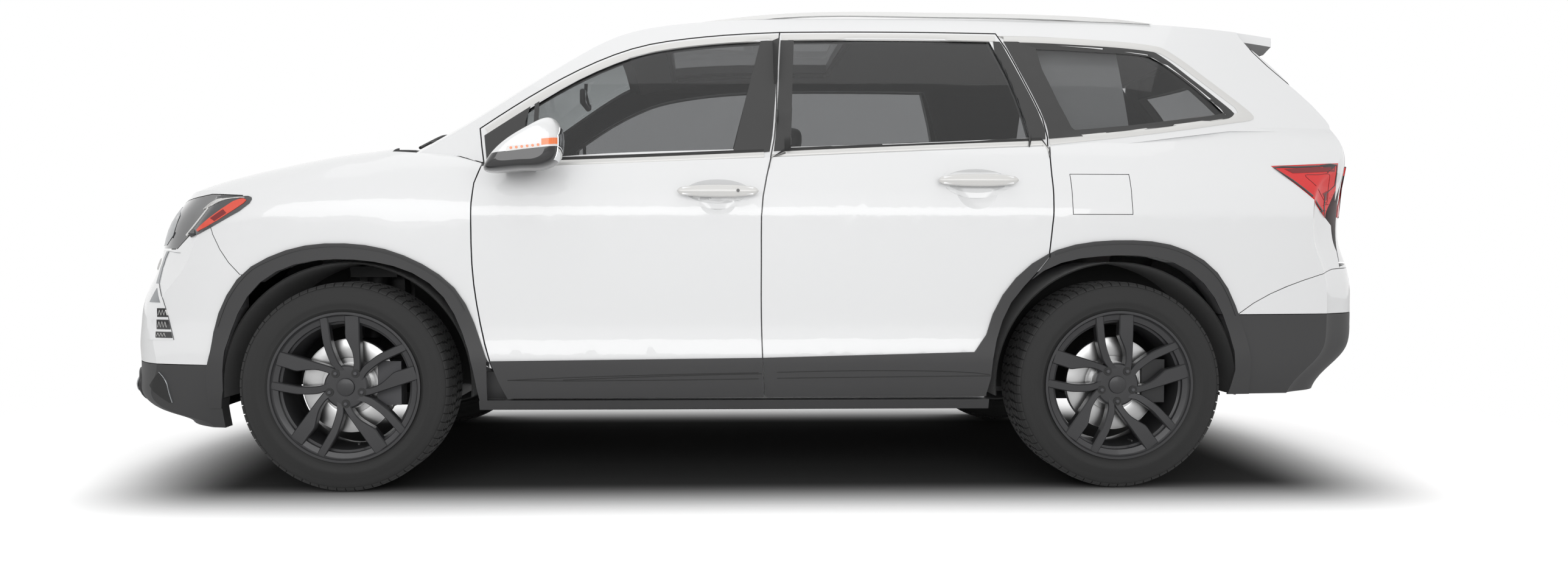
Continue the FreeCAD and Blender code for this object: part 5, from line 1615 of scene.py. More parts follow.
    def handles(self) -> None:
        """Build both bright door handles, with a paint rim and a darker sheet of painted shade laid over the
        recesses behind them.
        """
        for letter, x, z in (("f", -0.064, 1.087), ("r", 0.878, 1.128)):
            place = self.on(self.door(letter))
            base = place(x - 0.05, z)
            rings = []
            sizes = ((-0.146, 0.05), (-0.141, 0.36), (-0.132, 0.62), (-0.108, 0.76), (-0.060, 0.94),
                     (0.0, 1.0), (0.060, 0.96), (0.108, 0.78), (0.132, 0.64), (0.141, 0.36), (0.146, 0.05))
            sides = 24
            for along, size in sizes:
                for k in range(sides):
                    a = math.tau * k / sides
                    ridge = 1.0 + 0.10 * math.cos(6.0 * a)
                    rings.append((x + MID + along,
                                  base.y + self.side * (-0.0065 + 0.0105 * size ** 0.6 * math.cos(a) * ridge),
                                  z + 0.0225 * size * math.sin(a)))
            grip = facing_out(new_piece("grip", rings, run_faces(len(sizes), sides), Look.BRIGHT))
            low, high = (place(x, v).y - (place(x - 0.165, v).y + place(x + 0.165, v).y) / 2.0
                         for v in (z - 0.075, z + 0.075))

            def skin(u: float, v: float) -> Vector:
                """Door skin carried over the recess behind the handle.

                Args:
                    u: Place along the wheelbase.
                    v: Height.

                Returns:
                    The point.
                """
                rise = abs(v - z)
                reach = 0.165 if rise < 0.022 else math.sqrt(max(0.066 ** 2 - rise ** 2, 0.0)) + 0.003
                if abs(u - x) >= reach:
                    return place(u, v)
                ahead, behind = place(x - reach, v), place(x + reach, v)
                share = (u - x) / reach
                crown = (low + (high - low) * (v - z + 0.075) / 0.150) * (reach / 0.165) ** 2
                y = (ahead.y + behind.y + (behind.y - ahead.y) * share) / 2.0 + crown * (1.0 - share ** 2)
                return Vector((u + MID, y, v))

            def lens(name: str, wide: float, high: float, thick: float, look: Look) -> bpy.types.Object:
                """Sheet with the outline of the recess behind the handle."""
                ring = [(x + u, z + v) for u, v in oval(28, wide, high)]
                return patch(name, ring, skin, (0.0, self.side, 0.0), thick, look, 0.011)

            # The bowl sheet is painted shade: darker paint stands in for the shade inside the recess.
            parts = [grip, lens("rim", 0.125, 0.064, 0.0009, Look.PAINT),
                     lens("bowl", 0.116, 0.044, 0.0017, Look.RECESS_SHADE)]
            if letter == "f":
                spot = (x + MID + 0.072, base.y + self.side * 0.0035, z + 0.001)
                parts.append(turned("lock", [(0.0, -0.002), (0.006, -0.002), (0.006, 0.002), (0.0, 0.002)],
                                    spot, Look.GLOSS_BLACK, 16))
            settle(joined(f"{self.door(letter)}_handle_cover", parts), self.door(letter))

    def mirror(self) -> None:
        """Dress the door mirror with its indicator and its glass."""
        body = self.door("f")
        node = f"mirror_{self.word}"
        place = self.on(node)
        out = (0.0, self.side, 0.0)
        wear(frame["nodes"][node], Look.MIRROR_CASE)
        lens = patch("lens", [(-0.668, 1.2335), (-0.617, 1.2395), (-0.617, 1.2605), (-0.668, 1.2545)], place,
                     out, 0.0025, Look.AMBER, 0.01)
        parts = [lens]
        for k in range(6):
            spot = place(-0.772 + 0.0185 * k, 1.2235 + 0.0021 * k)
            parts.append(turned("dot", [(0.0, -0.003), (0.0045, -0.003), (0.0050, 0.0), (0.0045, 0.003),
                                        (0.0, 0.003)], spot, Look.AMBER, 12))
        tray = patch("tray", [(-0.790, 1.2115), (-0.672, 1.2275), (-0.672, 1.2385), (-0.785, 1.2290)],
                     place, out, 0.0010, Look.BRIGHT, 0.01)
        parts.append(tray)
        probe = Probe(node)
        w = self.side

        def behind(y: float, z: float) -> Vector:
            """Point of the mirror head's rear face."""
            return probe.touch((0.5, y, z), (-1.0, 0.0, 0.0), (-0.68, y, z))

        glass = patch("glass", [(w * 1.008, 1.178), (w * 1.118, 1.186), (w * 1.122, 1.270),
                                (w * 1.090, 1.300), (w * 1.012, 1.290)], behind, (1.0, 0.0, 0.0), 0.0025,
                      Look.MIRROR, 0.02)
        settle(joined(f"mirror_{self.word}_details", parts + [glass]), body)

    def cladding(self) -> None:
        """Lay step lines and a foot on the arch mouldings, and spear lines on the doors' mouldings."""
        out = (0.0, self.side, 0.0)
        place = self.on("body_cladding")
        front = [(-1.872, 0.599), (-1.828, 0.702), (-1.757, 0.790), (-1.680, 0.836), (-1.556, 0.878),
                 (-1.410, 0.890), (-1.260, 0.870), (-1.163, 0.834), (-1.074, 0.782), (-1.010, 0.724),
                 (-0.972, 0.660)]
        rear = [(1.160, 0.862), (1.266, 0.890), (1.419, 0.901), (1.573, 0.887), (1.690, 0.841),
                (1.768, 0.778), (1.815, 0.706), (1.845, 0.636)]
        steps = [band("step", beside(run, -0.0035, 0.0), place, out, 0.0022, Look.CLADDING)
                 for run in (front, rear)]
        settle(joined(f"arch_step_lines_{self.word}", steps), "body")
        flank = self.on("front_fenders", f"body_side_{self.word}")
        foot = [(-0.906, 0.334), (-0.832, 0.334), (-0.8575, 0.400), (-0.881, 0.466), (-0.893, 0.480),
                (-0.906, 0.505)]
        fill = patch(f"arch_foot_{self.word}", foot, flank, out, 0.0040, Look.CLADDING, 0.02)
        settle(fill, "body")
        spears = {"f": (((-0.82, 0.4075), (-0.60, 0.417), (-0.30, 0.426), (0.00, 0.432), (0.125, 0.434)),
                        ((-0.82, 0.4070), (-0.60, 0.405), (-0.30, 0.407), (0.00, 0.410), (0.125, 0.412)),
                        ((-0.62, 0.4085), (-0.45, 0.415), (-0.20, 0.4235), (0.00, 0.428), (0.125, 0.430))),
                  "r": (((0.150, 0.435), (0.45, 0.440), (0.70, 0.438), (0.86, 0.431), (0.945, 0.420)),
                        ((0.150, 0.413), (0.45, 0.416), (0.70, 0.418), (0.86, 0.419), (0.945, 0.419)))}
        for letter, runs in spears.items():
            where = self.on(self.door(letter) + "_cladding")
            parts = [band("spear", beside(run, -0.0012, 0.0012), where, out, 0.0012, Look.SEAL)
                     for run in runs]
            settle(joined(f"{self.door(letter)}_spear_lines", parts), self.door(letter))

    def tail_lamp(self) -> None:
        """Lay the dark edge, the inner line, the darker fields and the lens over the tail lamp."""
        out = (0.0, self.side, 0.0)
        place = self.on("tail_lamps")
        edge = [(2.006, 1.185), (2.100, 1.1905), (2.200, 1.196), (2.279, 1.2005), (2.279, 1.120),
                (2.277, 1.040), (2.276, 0.966), (2.245, 0.990), (2.210, 1.017), (2.140, 1.074),
                (2.070, 1.132)]
        rim = band("rim", beside(edge, -0.0085, 0.0, 2, True), place, out, 0.0048, Look.GLOSS_BLACK, True)
        tri = [(2.128, 1.157), (2.180, 1.160), (2.238, 1.162), (2.2385, 1.120), (2.237, 1.066),
               (2.226, 1.052), (2.190, 1.088), (2.150, 1.128)]
        line = band("line", beside(tri, -0.0030, 0.0, 3, True), place, out, 0.0042, Look.DARK_RED, True)
        top = patch("top", [(2.050, 1.1785), (2.266, 1.190), (2.266, 1.172), (2.080, 1.1625)], place, out,
                    0.0038, Look.DARK_RED, 0.015)
        core = patch("core", [(2.205, 1.088), (2.232, 1.100), (2.232, 1.066), (2.224, 1.062)], place, out,
                     0.0038, Look.DARK_RED, 0.015)
        lens = patch("lens", edge, place, out, 0.0028, Look.RED_LENS, 0.012)
        settle(joined(f"tail_lamp_details_{self.word}", [rim, line, top, core, lens]), "body")

    def headlamp(self) -> None:
        """Lay case, marker, bright strip, fins and bowl on the headlamp."""
        out = Vector((-0.35, self.side, 0.1)).normalized()
        place = self.on("headlamps")
        wide = self.on("headlamps", "front_fenders", "front_bumper")

        def closed(x: float, z: float) -> Vector:
            """Surface point of the corner, carried over the gap round the lamp.

            Args:
                x: Place along the wheelbase.
                z: Height.

            Returns:
                The point.
            """
            spots = [wide(x + dx, z + dz)
                     for dx, dz in ((0, 0), (0.006, 0), (-0.006, 0), (0, 0.006), (0, -0.006))]
            reach = max(self.side * spot.y for spot in spots)
            near = [spot.y for spot in spots if self.side * spot.y > reach - 0.012]
            y = spots[0].y if self.side * spots[0].y > reach - 0.012 else sum(near) / len(near)
            return Vector((x + MID, y, z))

        case = patch("case", [(-1.873, 1.070), (-1.797, 1.0705), (-1.748, 1.070), (-1.738, 1.066),
                              (-1.735, 1.058), (-1.742, 1.043), (-1.777, 1.015), (-1.847, 0.977),
                              (-1.895, 0.952), (-1.937, 0.932), (-1.972, 0.921), (-1.972, 0.962),
                              (-1.925, 1.006), (-1.885, 1.040)], closed, out, 0.0040, Look.LAMP_CASE,
                     0.015)
        marker = [(-1.752, 1.055), (-1.762, 1.0605), (-1.774, 1.0600), (-1.800, 1.051), (-1.842, 1.023),
                  (-1.890, 0.990), (-1.925, 0.963), (-1.944, 0.948), (-1.938, 0.9425), (-1.903, 0.958),
                  (-1.854, 0.984), (-1.797, 1.019), (-1.762, 1.043)]
        red = patch("red", marker, closed, out, 0.0065, Look.MARKER, 0.015)
        core = patch("core", [(-1.835, 1.0215), (-1.884, 0.9895), (-1.868, 0.979), (-1.822, 1.008)], closed,
                     out, 0.0072, Look.DARK_RED, 0.01)
        fins = [band("strip", beside([(-1.905, 1.032), (-1.930, 1.002), (-1.962, 0.968), (-2.000, 0.932)],
                                     0.0, 0.008, 4), closed, out, 0.0070, Look.BRIGHT)]
        for k in range(5):
            path = [(-1.925 + 0.010 * k, 1.022 + 0.003 * k), (-1.900 + 0.014 * k, 1.041 + 0.003 * k),
                    (-1.870 + 0.018 * k, 1.054 + 0.002 * k), (-1.845 + 0.021 * k, 1.059 + 0.001 * k)]
            fins.append(band("fin", beside(path, 0.0, 0.0034, 4), closed, out, 0.0070, Look.BRIGHT))
        bowl = patch("bowl", [(-2.085, 1.040), (-2.060, 1.005), (-2.078, 0.930), (-2.120, 0.895),
                              (-2.190, 0.893), (-2.215, 0.960), (-2.170, 1.015)], place, out, 0.0020,
                     Look.LAMP_BOWL, 0.03)
        settle(joined(f"headlamp_details_{self.word}", [case, red, core, bowl, *fins]), "body")

    def nose(self) -> None:
        """Lay the end of the grille and the side of the lower inlet round the nose."""
        out = Vector((-0.55, self.side * 0.83, 0.0)).normalized()
        place = self.on("front_bumper")
        edge = [(-2.128, 0.752), (-2.097, 0.699), (-2.080, 0.648), (-2.065, 0.595), (-2.050, 0.548)]
        parts = [patch("surround", [*edge, (-2.170, 0.545), (-2.178, 0.600), (-2.182, 0.680),
                                    (-2.160, 0.752)], place, out, 0.0030, Look.PAINT, 0.015),
                 patch("wing", [(-2.134, 0.736), (-2.106, 0.684), (-2.168, 0.684)], place, out, 0.0048,
                       Look.LAMP_BOWL, 0.01),
                 patch("flank", [(-2.129, 0.752), (-2.131, 0.810), (-2.118, 0.844), (-2.092, 0.880),
                                 (-2.106, 0.880), (-2.136, 0.844), (-2.150, 0.810), (-2.150, 0.752)],
                       place, out, 0.0030, Look.LAMP_BOWL, 0.015)]
        rows = ((0.631, 0.663, -2.0750, -2.0852, -2.119), (0.586, 0.621, -2.0628, -2.0727, -2.122),
                (0.555, 0.577, -2.0535, -2.0602, -2.126))
        for low, high, right, top, left in rows:
            parts.append(patch("cells", [(left, low), (right, low), (top, high), (left, high)], place, out,
                               0.0052, Look.GLOSS_BLACK, 0.01))
            middle, swing = (low + high) / 2.0, (high - low) * 0.30
            wires = [(left + 0.004 + 0.0065 * k, middle + (swing if k % 2 else -swing)) for k in range(7)]
            parts.append(band("wire", beside(wires, -0.0009, 0.0009, 1), place, out, 0.0064, Look.BRIGHT))
        settle(joined(f"grille_end_{self.word}", parts), "body")
        lower = self.on("front_bumper_lower")
        side = [(-2.113, 0.429), (-2.095, 0.410), (-2.083, 0.386), (-2.077, 0.352), (-2.068, 0.315)]
        well = patch("well", [*side, (-2.080, 0.313), (-2.117, 0.334), (-2.146, 0.355), (-2.163, 0.377),
                              (-2.133, 0.409)], lower, out, 0.0030, Look.SEAL, 0.015)
        line = band("edge", beside(side, -0.0012, 0.0012), lower, out, 0.0050, Look.LAMP_BOWL)
        settle(joined(f"nose_inlet_{self.word}", [well, line]), "body")

    def build(self) -> None:
        """Make every trim piece of this side."""
        self.windows()
        self.handles()
        self.mirror()
        self.cladding()
        self.tail_lamp()
        self.headlamp()
        self.nose()


@dataclass
class Face:
    """Grille, fog lamps and lower inlet of the nose.

    Attributes:
        cell: Width of one honeycomb cell.
        columns: Cells across the grille.
        rows: Rows of cells.
        foot: Height of the lowest row.
        head: Height where the cells end.
        half: Half width of the cells at their foot.
        flare: How far the half width grows up to the grille's shoulders.
    """

    cell: float = 0.034
    columns: int = 32
    rows: int = 13
    foot: float = 0.560
    head: float = 0.938
    half: float = 0.503
    flare: float = 0.075

    def mesh_grille(self) -> None:
        """Repeat one honeycomb cell and bend the sheet to the nose."""
        points, faces = [], []
        for depth in (0.0, 0.010):
            for radius in (self.cell / 2.0 * 1.12, self.cell / 2.0 * 0.86):
                for k in range(6):
                    a = math.tau * (k + 0.5) / 6
                    points.append((depth, radius * math.sin(a), radius * math.cos(a)))
        for k in range(6):
            j = (k + 1) % 6
            faces += [(k, j, 6 + j, 6 + k), (6 + k, 6 + j, 18 + j, 18 + k)]
        cell = new_piece("front_honeycomb", points, faces, Look.GLOSS_BLACK, smooth=False)
        values = {"Columns": self.columns, "Rows": self.rows, "Pitch Y": self.cell,
                  "Pitch Z": self.cell * 0.87, "Finish": Look.GLOSS_BLACK.material()}
        net = repeated(cell, lattice_tree(), values)
        probe = Probe("grille")
        shell = bmesh.new()
        shell.from_mesh(net.data)
        gone = []
        for vert in shell.verts:
            y = vert.co.y - self.cell * (self.columns - 0.5) / 2.0
            z = vert.co.z + self.foot
            hit = probe.cast((-3.5, y, z), (1.0, 0.0, 0.0))
            limit = self.half + self.flare * max(0.0, min(1.0, (z - 0.545) / 0.255))
            if hit is None or abs(y) > limit or z > self.head:
                gone.append(vert)
                continue
            vert.co = Vector((self.skin(abs(y), z) + 0.020 + vert.co.x, y, z))
        bmesh.ops.delete(shell, geom=gone, context="VERTS")
        shell.to_mesh(net.data)
        shell.free()
        settle(net, "body")

    def skin(self, y: float, z: float) -> float:
        """Distance along the car of the grille's front plane.

        Args:
            y: Distance from the middle.
            z: Height.

        Returns:
            Position in the row's frame.
        """
        line = ((0.50, -2.390), (0.60, -2.386), (0.674, -2.374), (0.731, -2.353), (0.779, -2.328),
                (0.843, -2.304), (0.907, -2.291), (0.972, -2.270))
        x = line[-1][1]
        for (z0, x0), (z1, x1) in zip(line, line[1:]):
            if z0 <= z <= z1:
                x = x0 + (x1 - x0) * (z - z0) / (z1 - z0)
        return x + MID + 0.200 * y * y

    def bars(self) -> None:
        """Lay the bright bars and the wing of the grille."""
        probe = Probe("grille", "front_bumper")

        def place(y: float, z: float) -> Vector:
            """Foremost point of the grille."""
            hit = probe.cast((-3.5, y, z), (1.0, 0.0, 0.0))
            return Vector((self.skin(abs(y), z), y, z)) if hit is None else hit

        parts = []
        out = (-1.0, 0.0, 0.0)
        for z, half in ((0.610, 0.520), (0.670, 0.540), (0.730, 0.560)):
            run = [(-half + 2.0 * half * k / 12.0, z) for k in range(13)]
            pairs = [(Vector((y, z - 0.0085)), Vector((y, z + 0.0085))) for y, z in run]
            parts.append(band("bar", pairs, place, out, 0.006, Look.BRIGHT))

        def wing_place(y: float, z: float) -> Vector:
            """Plane of the wing ahead of the honeycomb."""
            return Vector((self.skin(abs(y), z) + 0.004, y, z))

        low = smooth_path([(-0.575, 0.800), (-0.40, 0.792), (-0.20, 0.800), (0.0, 0.806), (0.20, 0.800),
                           (0.40, 0.792), (0.575, 0.800)], 4)
        high = smooth_path([(-0.580, 0.846), (-0.40, 0.850), (-0.20, 0.884), (0.0, 0.896), (0.20, 0.884),
                            (0.40, 0.850), (0.580, 0.846)], 4)
        parts.append(band("wing", list(zip(low, high)), wing_place, out, 0.010, Look.BRIGHT))
        settle(joined("grille_bright_bars", parts), "body")

    def lower(self) -> None:
        """Build the lower inlet and the fog lamps."""
        place = Probe("front_bumper_lower").ahead
        out = (-1.0, 0.0, 0.0)
        inlet = patch("inlet", [(-0.46, 0.300), (0.46, 0.300), (0.50, 0.345), (0.48, 0.395), (-0.48, 0.395),
                                (-0.50, 0.345)], place, out, 0.0020, Look.GLOSS_BLACK, 0.04)
        parts = [inlet]
        for k in range(3):
            z = 0.322 + 0.024 * k
            pairs = [(Vector((y, z - 0.003)), Vector((y, z + 0.003)))
                     for y in (-0.48 + 0.96 * i / 14.0 for i in range(15))]
            parts.append(band("rib", pairs, place, out, 0.008, Look.SEAL))
        settle(joined("lower_inlet", parts), "body")
        for key, w in SIDES.items():
            ring = [(w * 0.540, 0.405), (w * 0.640, 0.418), (w * 0.710, 0.405), (w * 0.730, 0.370),
                    (w * 0.680, 0.315), (w * 0.590, 0.300), (w * 0.550, 0.335)]
            side_out = Vector((-1.0, w * 0.5, 0.0)).normalized()
            well = patch("well", ring, place, side_out, 0.0025, Look.GLOSS_BLACK, 0.03)
            trim = band("trim", beside(ring, -0.006, 0.006, 4, True), place, side_out, 0.007,
                        Look.CLADDING, True)
            middle = place(w * 0.635, 0.362)
            lamp = turned("fog", [(0.0, -0.010), (0.020, -0.008), (0.030, -0.002), (0.033, 0.004),
                                  (0.0, 0.004)], (0.0, 0.0, 0.0), Look.LAMP_BOWL, 32)
            lamp.data.transform(Matrix.Translation(middle) @ Matrix.Rotation(-math.pi / 2.0, 4, "Z"))
            settle(joined(f"fog_lamp_{key}", [well, trim, lamp]), "body")

    def build(self) -> None:
        """Make every piece of the nose."""
        self.mesh_grille()
        self.bars()
        self.lower()


@dataclass
class Tail:
    """Rear bumper inserts, blank plate, wiper and the lamps' inner halves."""

    def build(self) -> None:
        """Make every piece of the tail."""
        place = Probe("rear_bumper_lower", "rear_bumper").behind
        back = (1.0, 0.0, 0.0)
        skid = patch("skid", [(-0.42, 0.385), (0.42, 0.385), (0.46, 0.455), (0.44, 0.520), (-0.44, 0.520),
                              (-0.46, 0.455)], place, back, 0.004, Look.GLOSS_BLACK, 0.04)
        parts = [skid]
        for w in SIDES.values():
            ring = [(w * 0.50, 0.430), (w * 0.62, 0.420), (w * 0.70, 0.432), (w * 0.715, 0.468),
                    (w * 0.62, 0.482), (w * 0.51, 0.478)]
            parts.append(patch("insert", ring, place, back, 0.004, Look.BRIGHT, 0.03))
            parts.append(patch("core", [(w * 0.52, 0.442), (w * 0.69, 0.443), (w * 0.70, 0.465),
                                        (w * 0.52, 0.470)], place, back, 0.0055, Look.GLOSS_BLACK, 0.03))
            parts.append(patch("reflex", [(w * 0.56, 0.548), (w * 0.70, 0.552), (w * 0.70, 0.570),
                                          (w * 0.56, 0.568)], place, back, 0.003, Look.RED_LENS, 0.03))
        settle(joined("rear_bumper_inserts", parts), "body")
        on_gate = Probe("tailgate").behind
        ring = [(-0.262, 0.893), (0.0, 0.893), (0.262, 0.893), (0.262, 1.007), (0.0, 1.007),
                (-0.262, 1.007)]
        blank = patch("blank", ring, on_gate, back, 0.0015, Look.PALE_PLATE, 0.05)
        garnish = band("garnish", [(Vector((y, 1.060)), Vector((y, 1.082)))
                                   for y in (-0.36 + 0.72 * k / 12 for k in range(13))], on_gate, back, 0.008,
                       Look.BRIGHT)
        settle(joined("tailgate_blank_plate", [blank, garnish]), "tailgate")
        for key, w in SIDES.items():
            lamp = patch("inner", [(w * 0.44, 1.065), (w * 0.80, 1.000), (w * 0.83, 1.188),
                                   (w * 0.44, 1.155)], on_gate, back, 0.004, Look.RED_LENS, 0.04)
            edge = band("edge", beside([(w * 0.44, 1.065), (w * 0.62, 1.032), (w * 0.80, 1.000),
                                        (w * 0.815, 1.095), (w * 0.83, 1.188), (w * 0.63, 1.172),
                                        (w * 0.44, 1.155), (w * 0.44, 1.11)], -0.004, 0.004, 1, True),
                        on_gate, back, 0.006, Look.GLOSS_BLACK, True)
            settle(joined(f"tailgate_lamp_{key}", [lamp, edge]), "tailgate")
        self.wiper()

    def wiper(self) -> None:
        """Lay the rear wiper over the window."""
        pane = Probe("tailgate_glass", "tailgate")

        def over(y: float, z: float, lift: float) -> Vector:
            """Point above the rear window."""
            return pane.behind(y, z) + Vector((lift, 0.0, lift * 0.6))

        arm = tube("arm", [over(0.0, 1.268, 0.016), over(0.06, 1.285, 0.020), over(0.20, 1.306, 0.018),
                           over(0.30, 1.322, 0.013)], 0.006, Look.SEAL)
        blade = tube("blade", [over(0.10, 1.300, 0.006), over(0.26, 1.322, 0.006),
                               over(0.42, 1.332, 0.006)], 0.0045, Look.SEAL)
        middle, half = over(0.0, 1.268, 0.006), Vector((0.016, 0.020, 0.016))
        boss = rounded_box("boss", middle - half, middle + half, Look.SEAL, 0.007)
        settle(joined("rear_wiper", [arm, blade, boss]), "tailgate")


@dataclass
class Seat:
    """One padded seat: cushion, back, bolsters, head restraint and its posts.

    Attributes:
        x: Front of the cushion along the wheelbase.
        y: Middle of the seat.
        width: Width of the seat.
        back: Height of the back.
        top: Height of the cushion's top.
        lean: Lean of the back in radians.
        bolsters: Whether it has side bolsters.
        length: Length of the cushion.
        head: Width of the head restraint, or zero for none.
    """

    x: float
    y: float
    width: float
    back: float
    top: float = 0.690
    lean: float = math.radians(14.0)
    bolsters: bool = True
    length: float = 0.47
    head: float = 0.250

    def cushion(self) -> list[bpy.types.Object]:
        """Build the cushion and its bolsters.

        Returns:
            The soft parts.
        """
        half = self.width / 2.0
        side = 0.085 if self.bolsters else 0.0
        mid = (self.x + 0.015 + self.length / 2.0, self.y, self.top - 0.060)
        parts = [moved(pad("cushion", (self.length, self.width - 2.0 * side, 0.115), Look.LEATHER, 0.008,
                           grooves=((0, -0.45), (0, 0.05), (0, 0.55)), depth=0.010), mid)]
        for w in SIDES.values() if self.bolsters else ():
            spot = (mid[0], self.y + w * (half - side / 2.0 - 0.002), mid[2] + 0.004)
            parts.append(moved(pad("bolster", (self.length + 0.01, side, 0.122), Look.LEATHER, 0.006,
                                   cells=14), spot))
        return parts

    def back_rest(self) -> list[bpy.types.Object]:
        """Build the back, its bolsters and the head restraint.

        Returns:
            The soft parts.
        """
        parts = []
        side = 0.080 if self.bolsters else 0.0
        root = Vector((self.x + self.length - 0.025, self.y, 0.655))
        along = Vector((math.sin(self.lean), 0.0, math.cos(self.lean)))
        away = Vector((math.cos(self.lean), 0.0, -math.sin(self.lean)))
        mid = root + along * (self.back / 2.0 - 0.010) + away * 0.054
        parts.append(moved(pad("back", (self.back - 0.03, self.width - 2.0 * side, 0.094), Look.LEATHER,
                               0.008, grooves=((0, -0.50), (0, 0.0), (0, 0.50)), depth=0.010), mid,
                           self.lean, True))
        for w in SIDES.values() if self.bolsters else ():
            spot = mid + Vector((-0.002, w * (self.width / 2.0 - side / 2.0 - 0.002), -0.015))
            parts.append(moved(pad("wing", (self.back - 0.08, side, 0.100), Look.LEATHER, 0.006, cells=14),
                               spot, self.lean, True))
        if self.head:
            spot = root + along * (self.back + 0.083) + away * 0.052
            parts.append(moved(pad("head", (0.155, self.head, 0.072), Look.LEATHER, 0.010, 4.0, cells=16),
                               spot, self.lean, True))
            for w in SIDES.values():
                low = root + along * (self.back - 0.03) + away * 0.052 + Vector((MID, w * 0.055, 0.0))
                high = low + along * 0.07
                parts.append(tube("post", [low, high], 0.006, Look.CHROME, 1))
        return parts

    def seams(self) -> list[bpy.types.Object]:
        """Build the piping along both sides of the cushion.

        Returns:
            The piping.
        """
        if not self.bolsters:
            return []
        half = self.width / 2.0 - 0.086
        z = self.top - 0.0035
        parts = []
        for w in SIDES.values():
            path = [(self.x + MID + 0.05 + 0.10 * k, self.y + w * half, z - 0.004 * abs(k - 1.8))
                    for k in range(5)]
            parts.append(tube("piping", path, 0.0028, Look.STITCH, 3, 6))
        return parts

    def build(self) -> list[bpy.types.Object]:
        """Build every soft part of the seat.

        Returns:
            The parts, not yet joined.
        """
        return self.cushion() + self.back_rest() + self.seams()


def cabin_box(name: str, low: Triple, high: Triple, look: Look, radius: float) -> bpy.types.Object:
    """Rounded box whose corners count X from the middle of the wheelbase."""
    return rounded_box(name, (low[0] + MID, *low[1:]), (high[0] + MID, *high[1:]), look, radius)


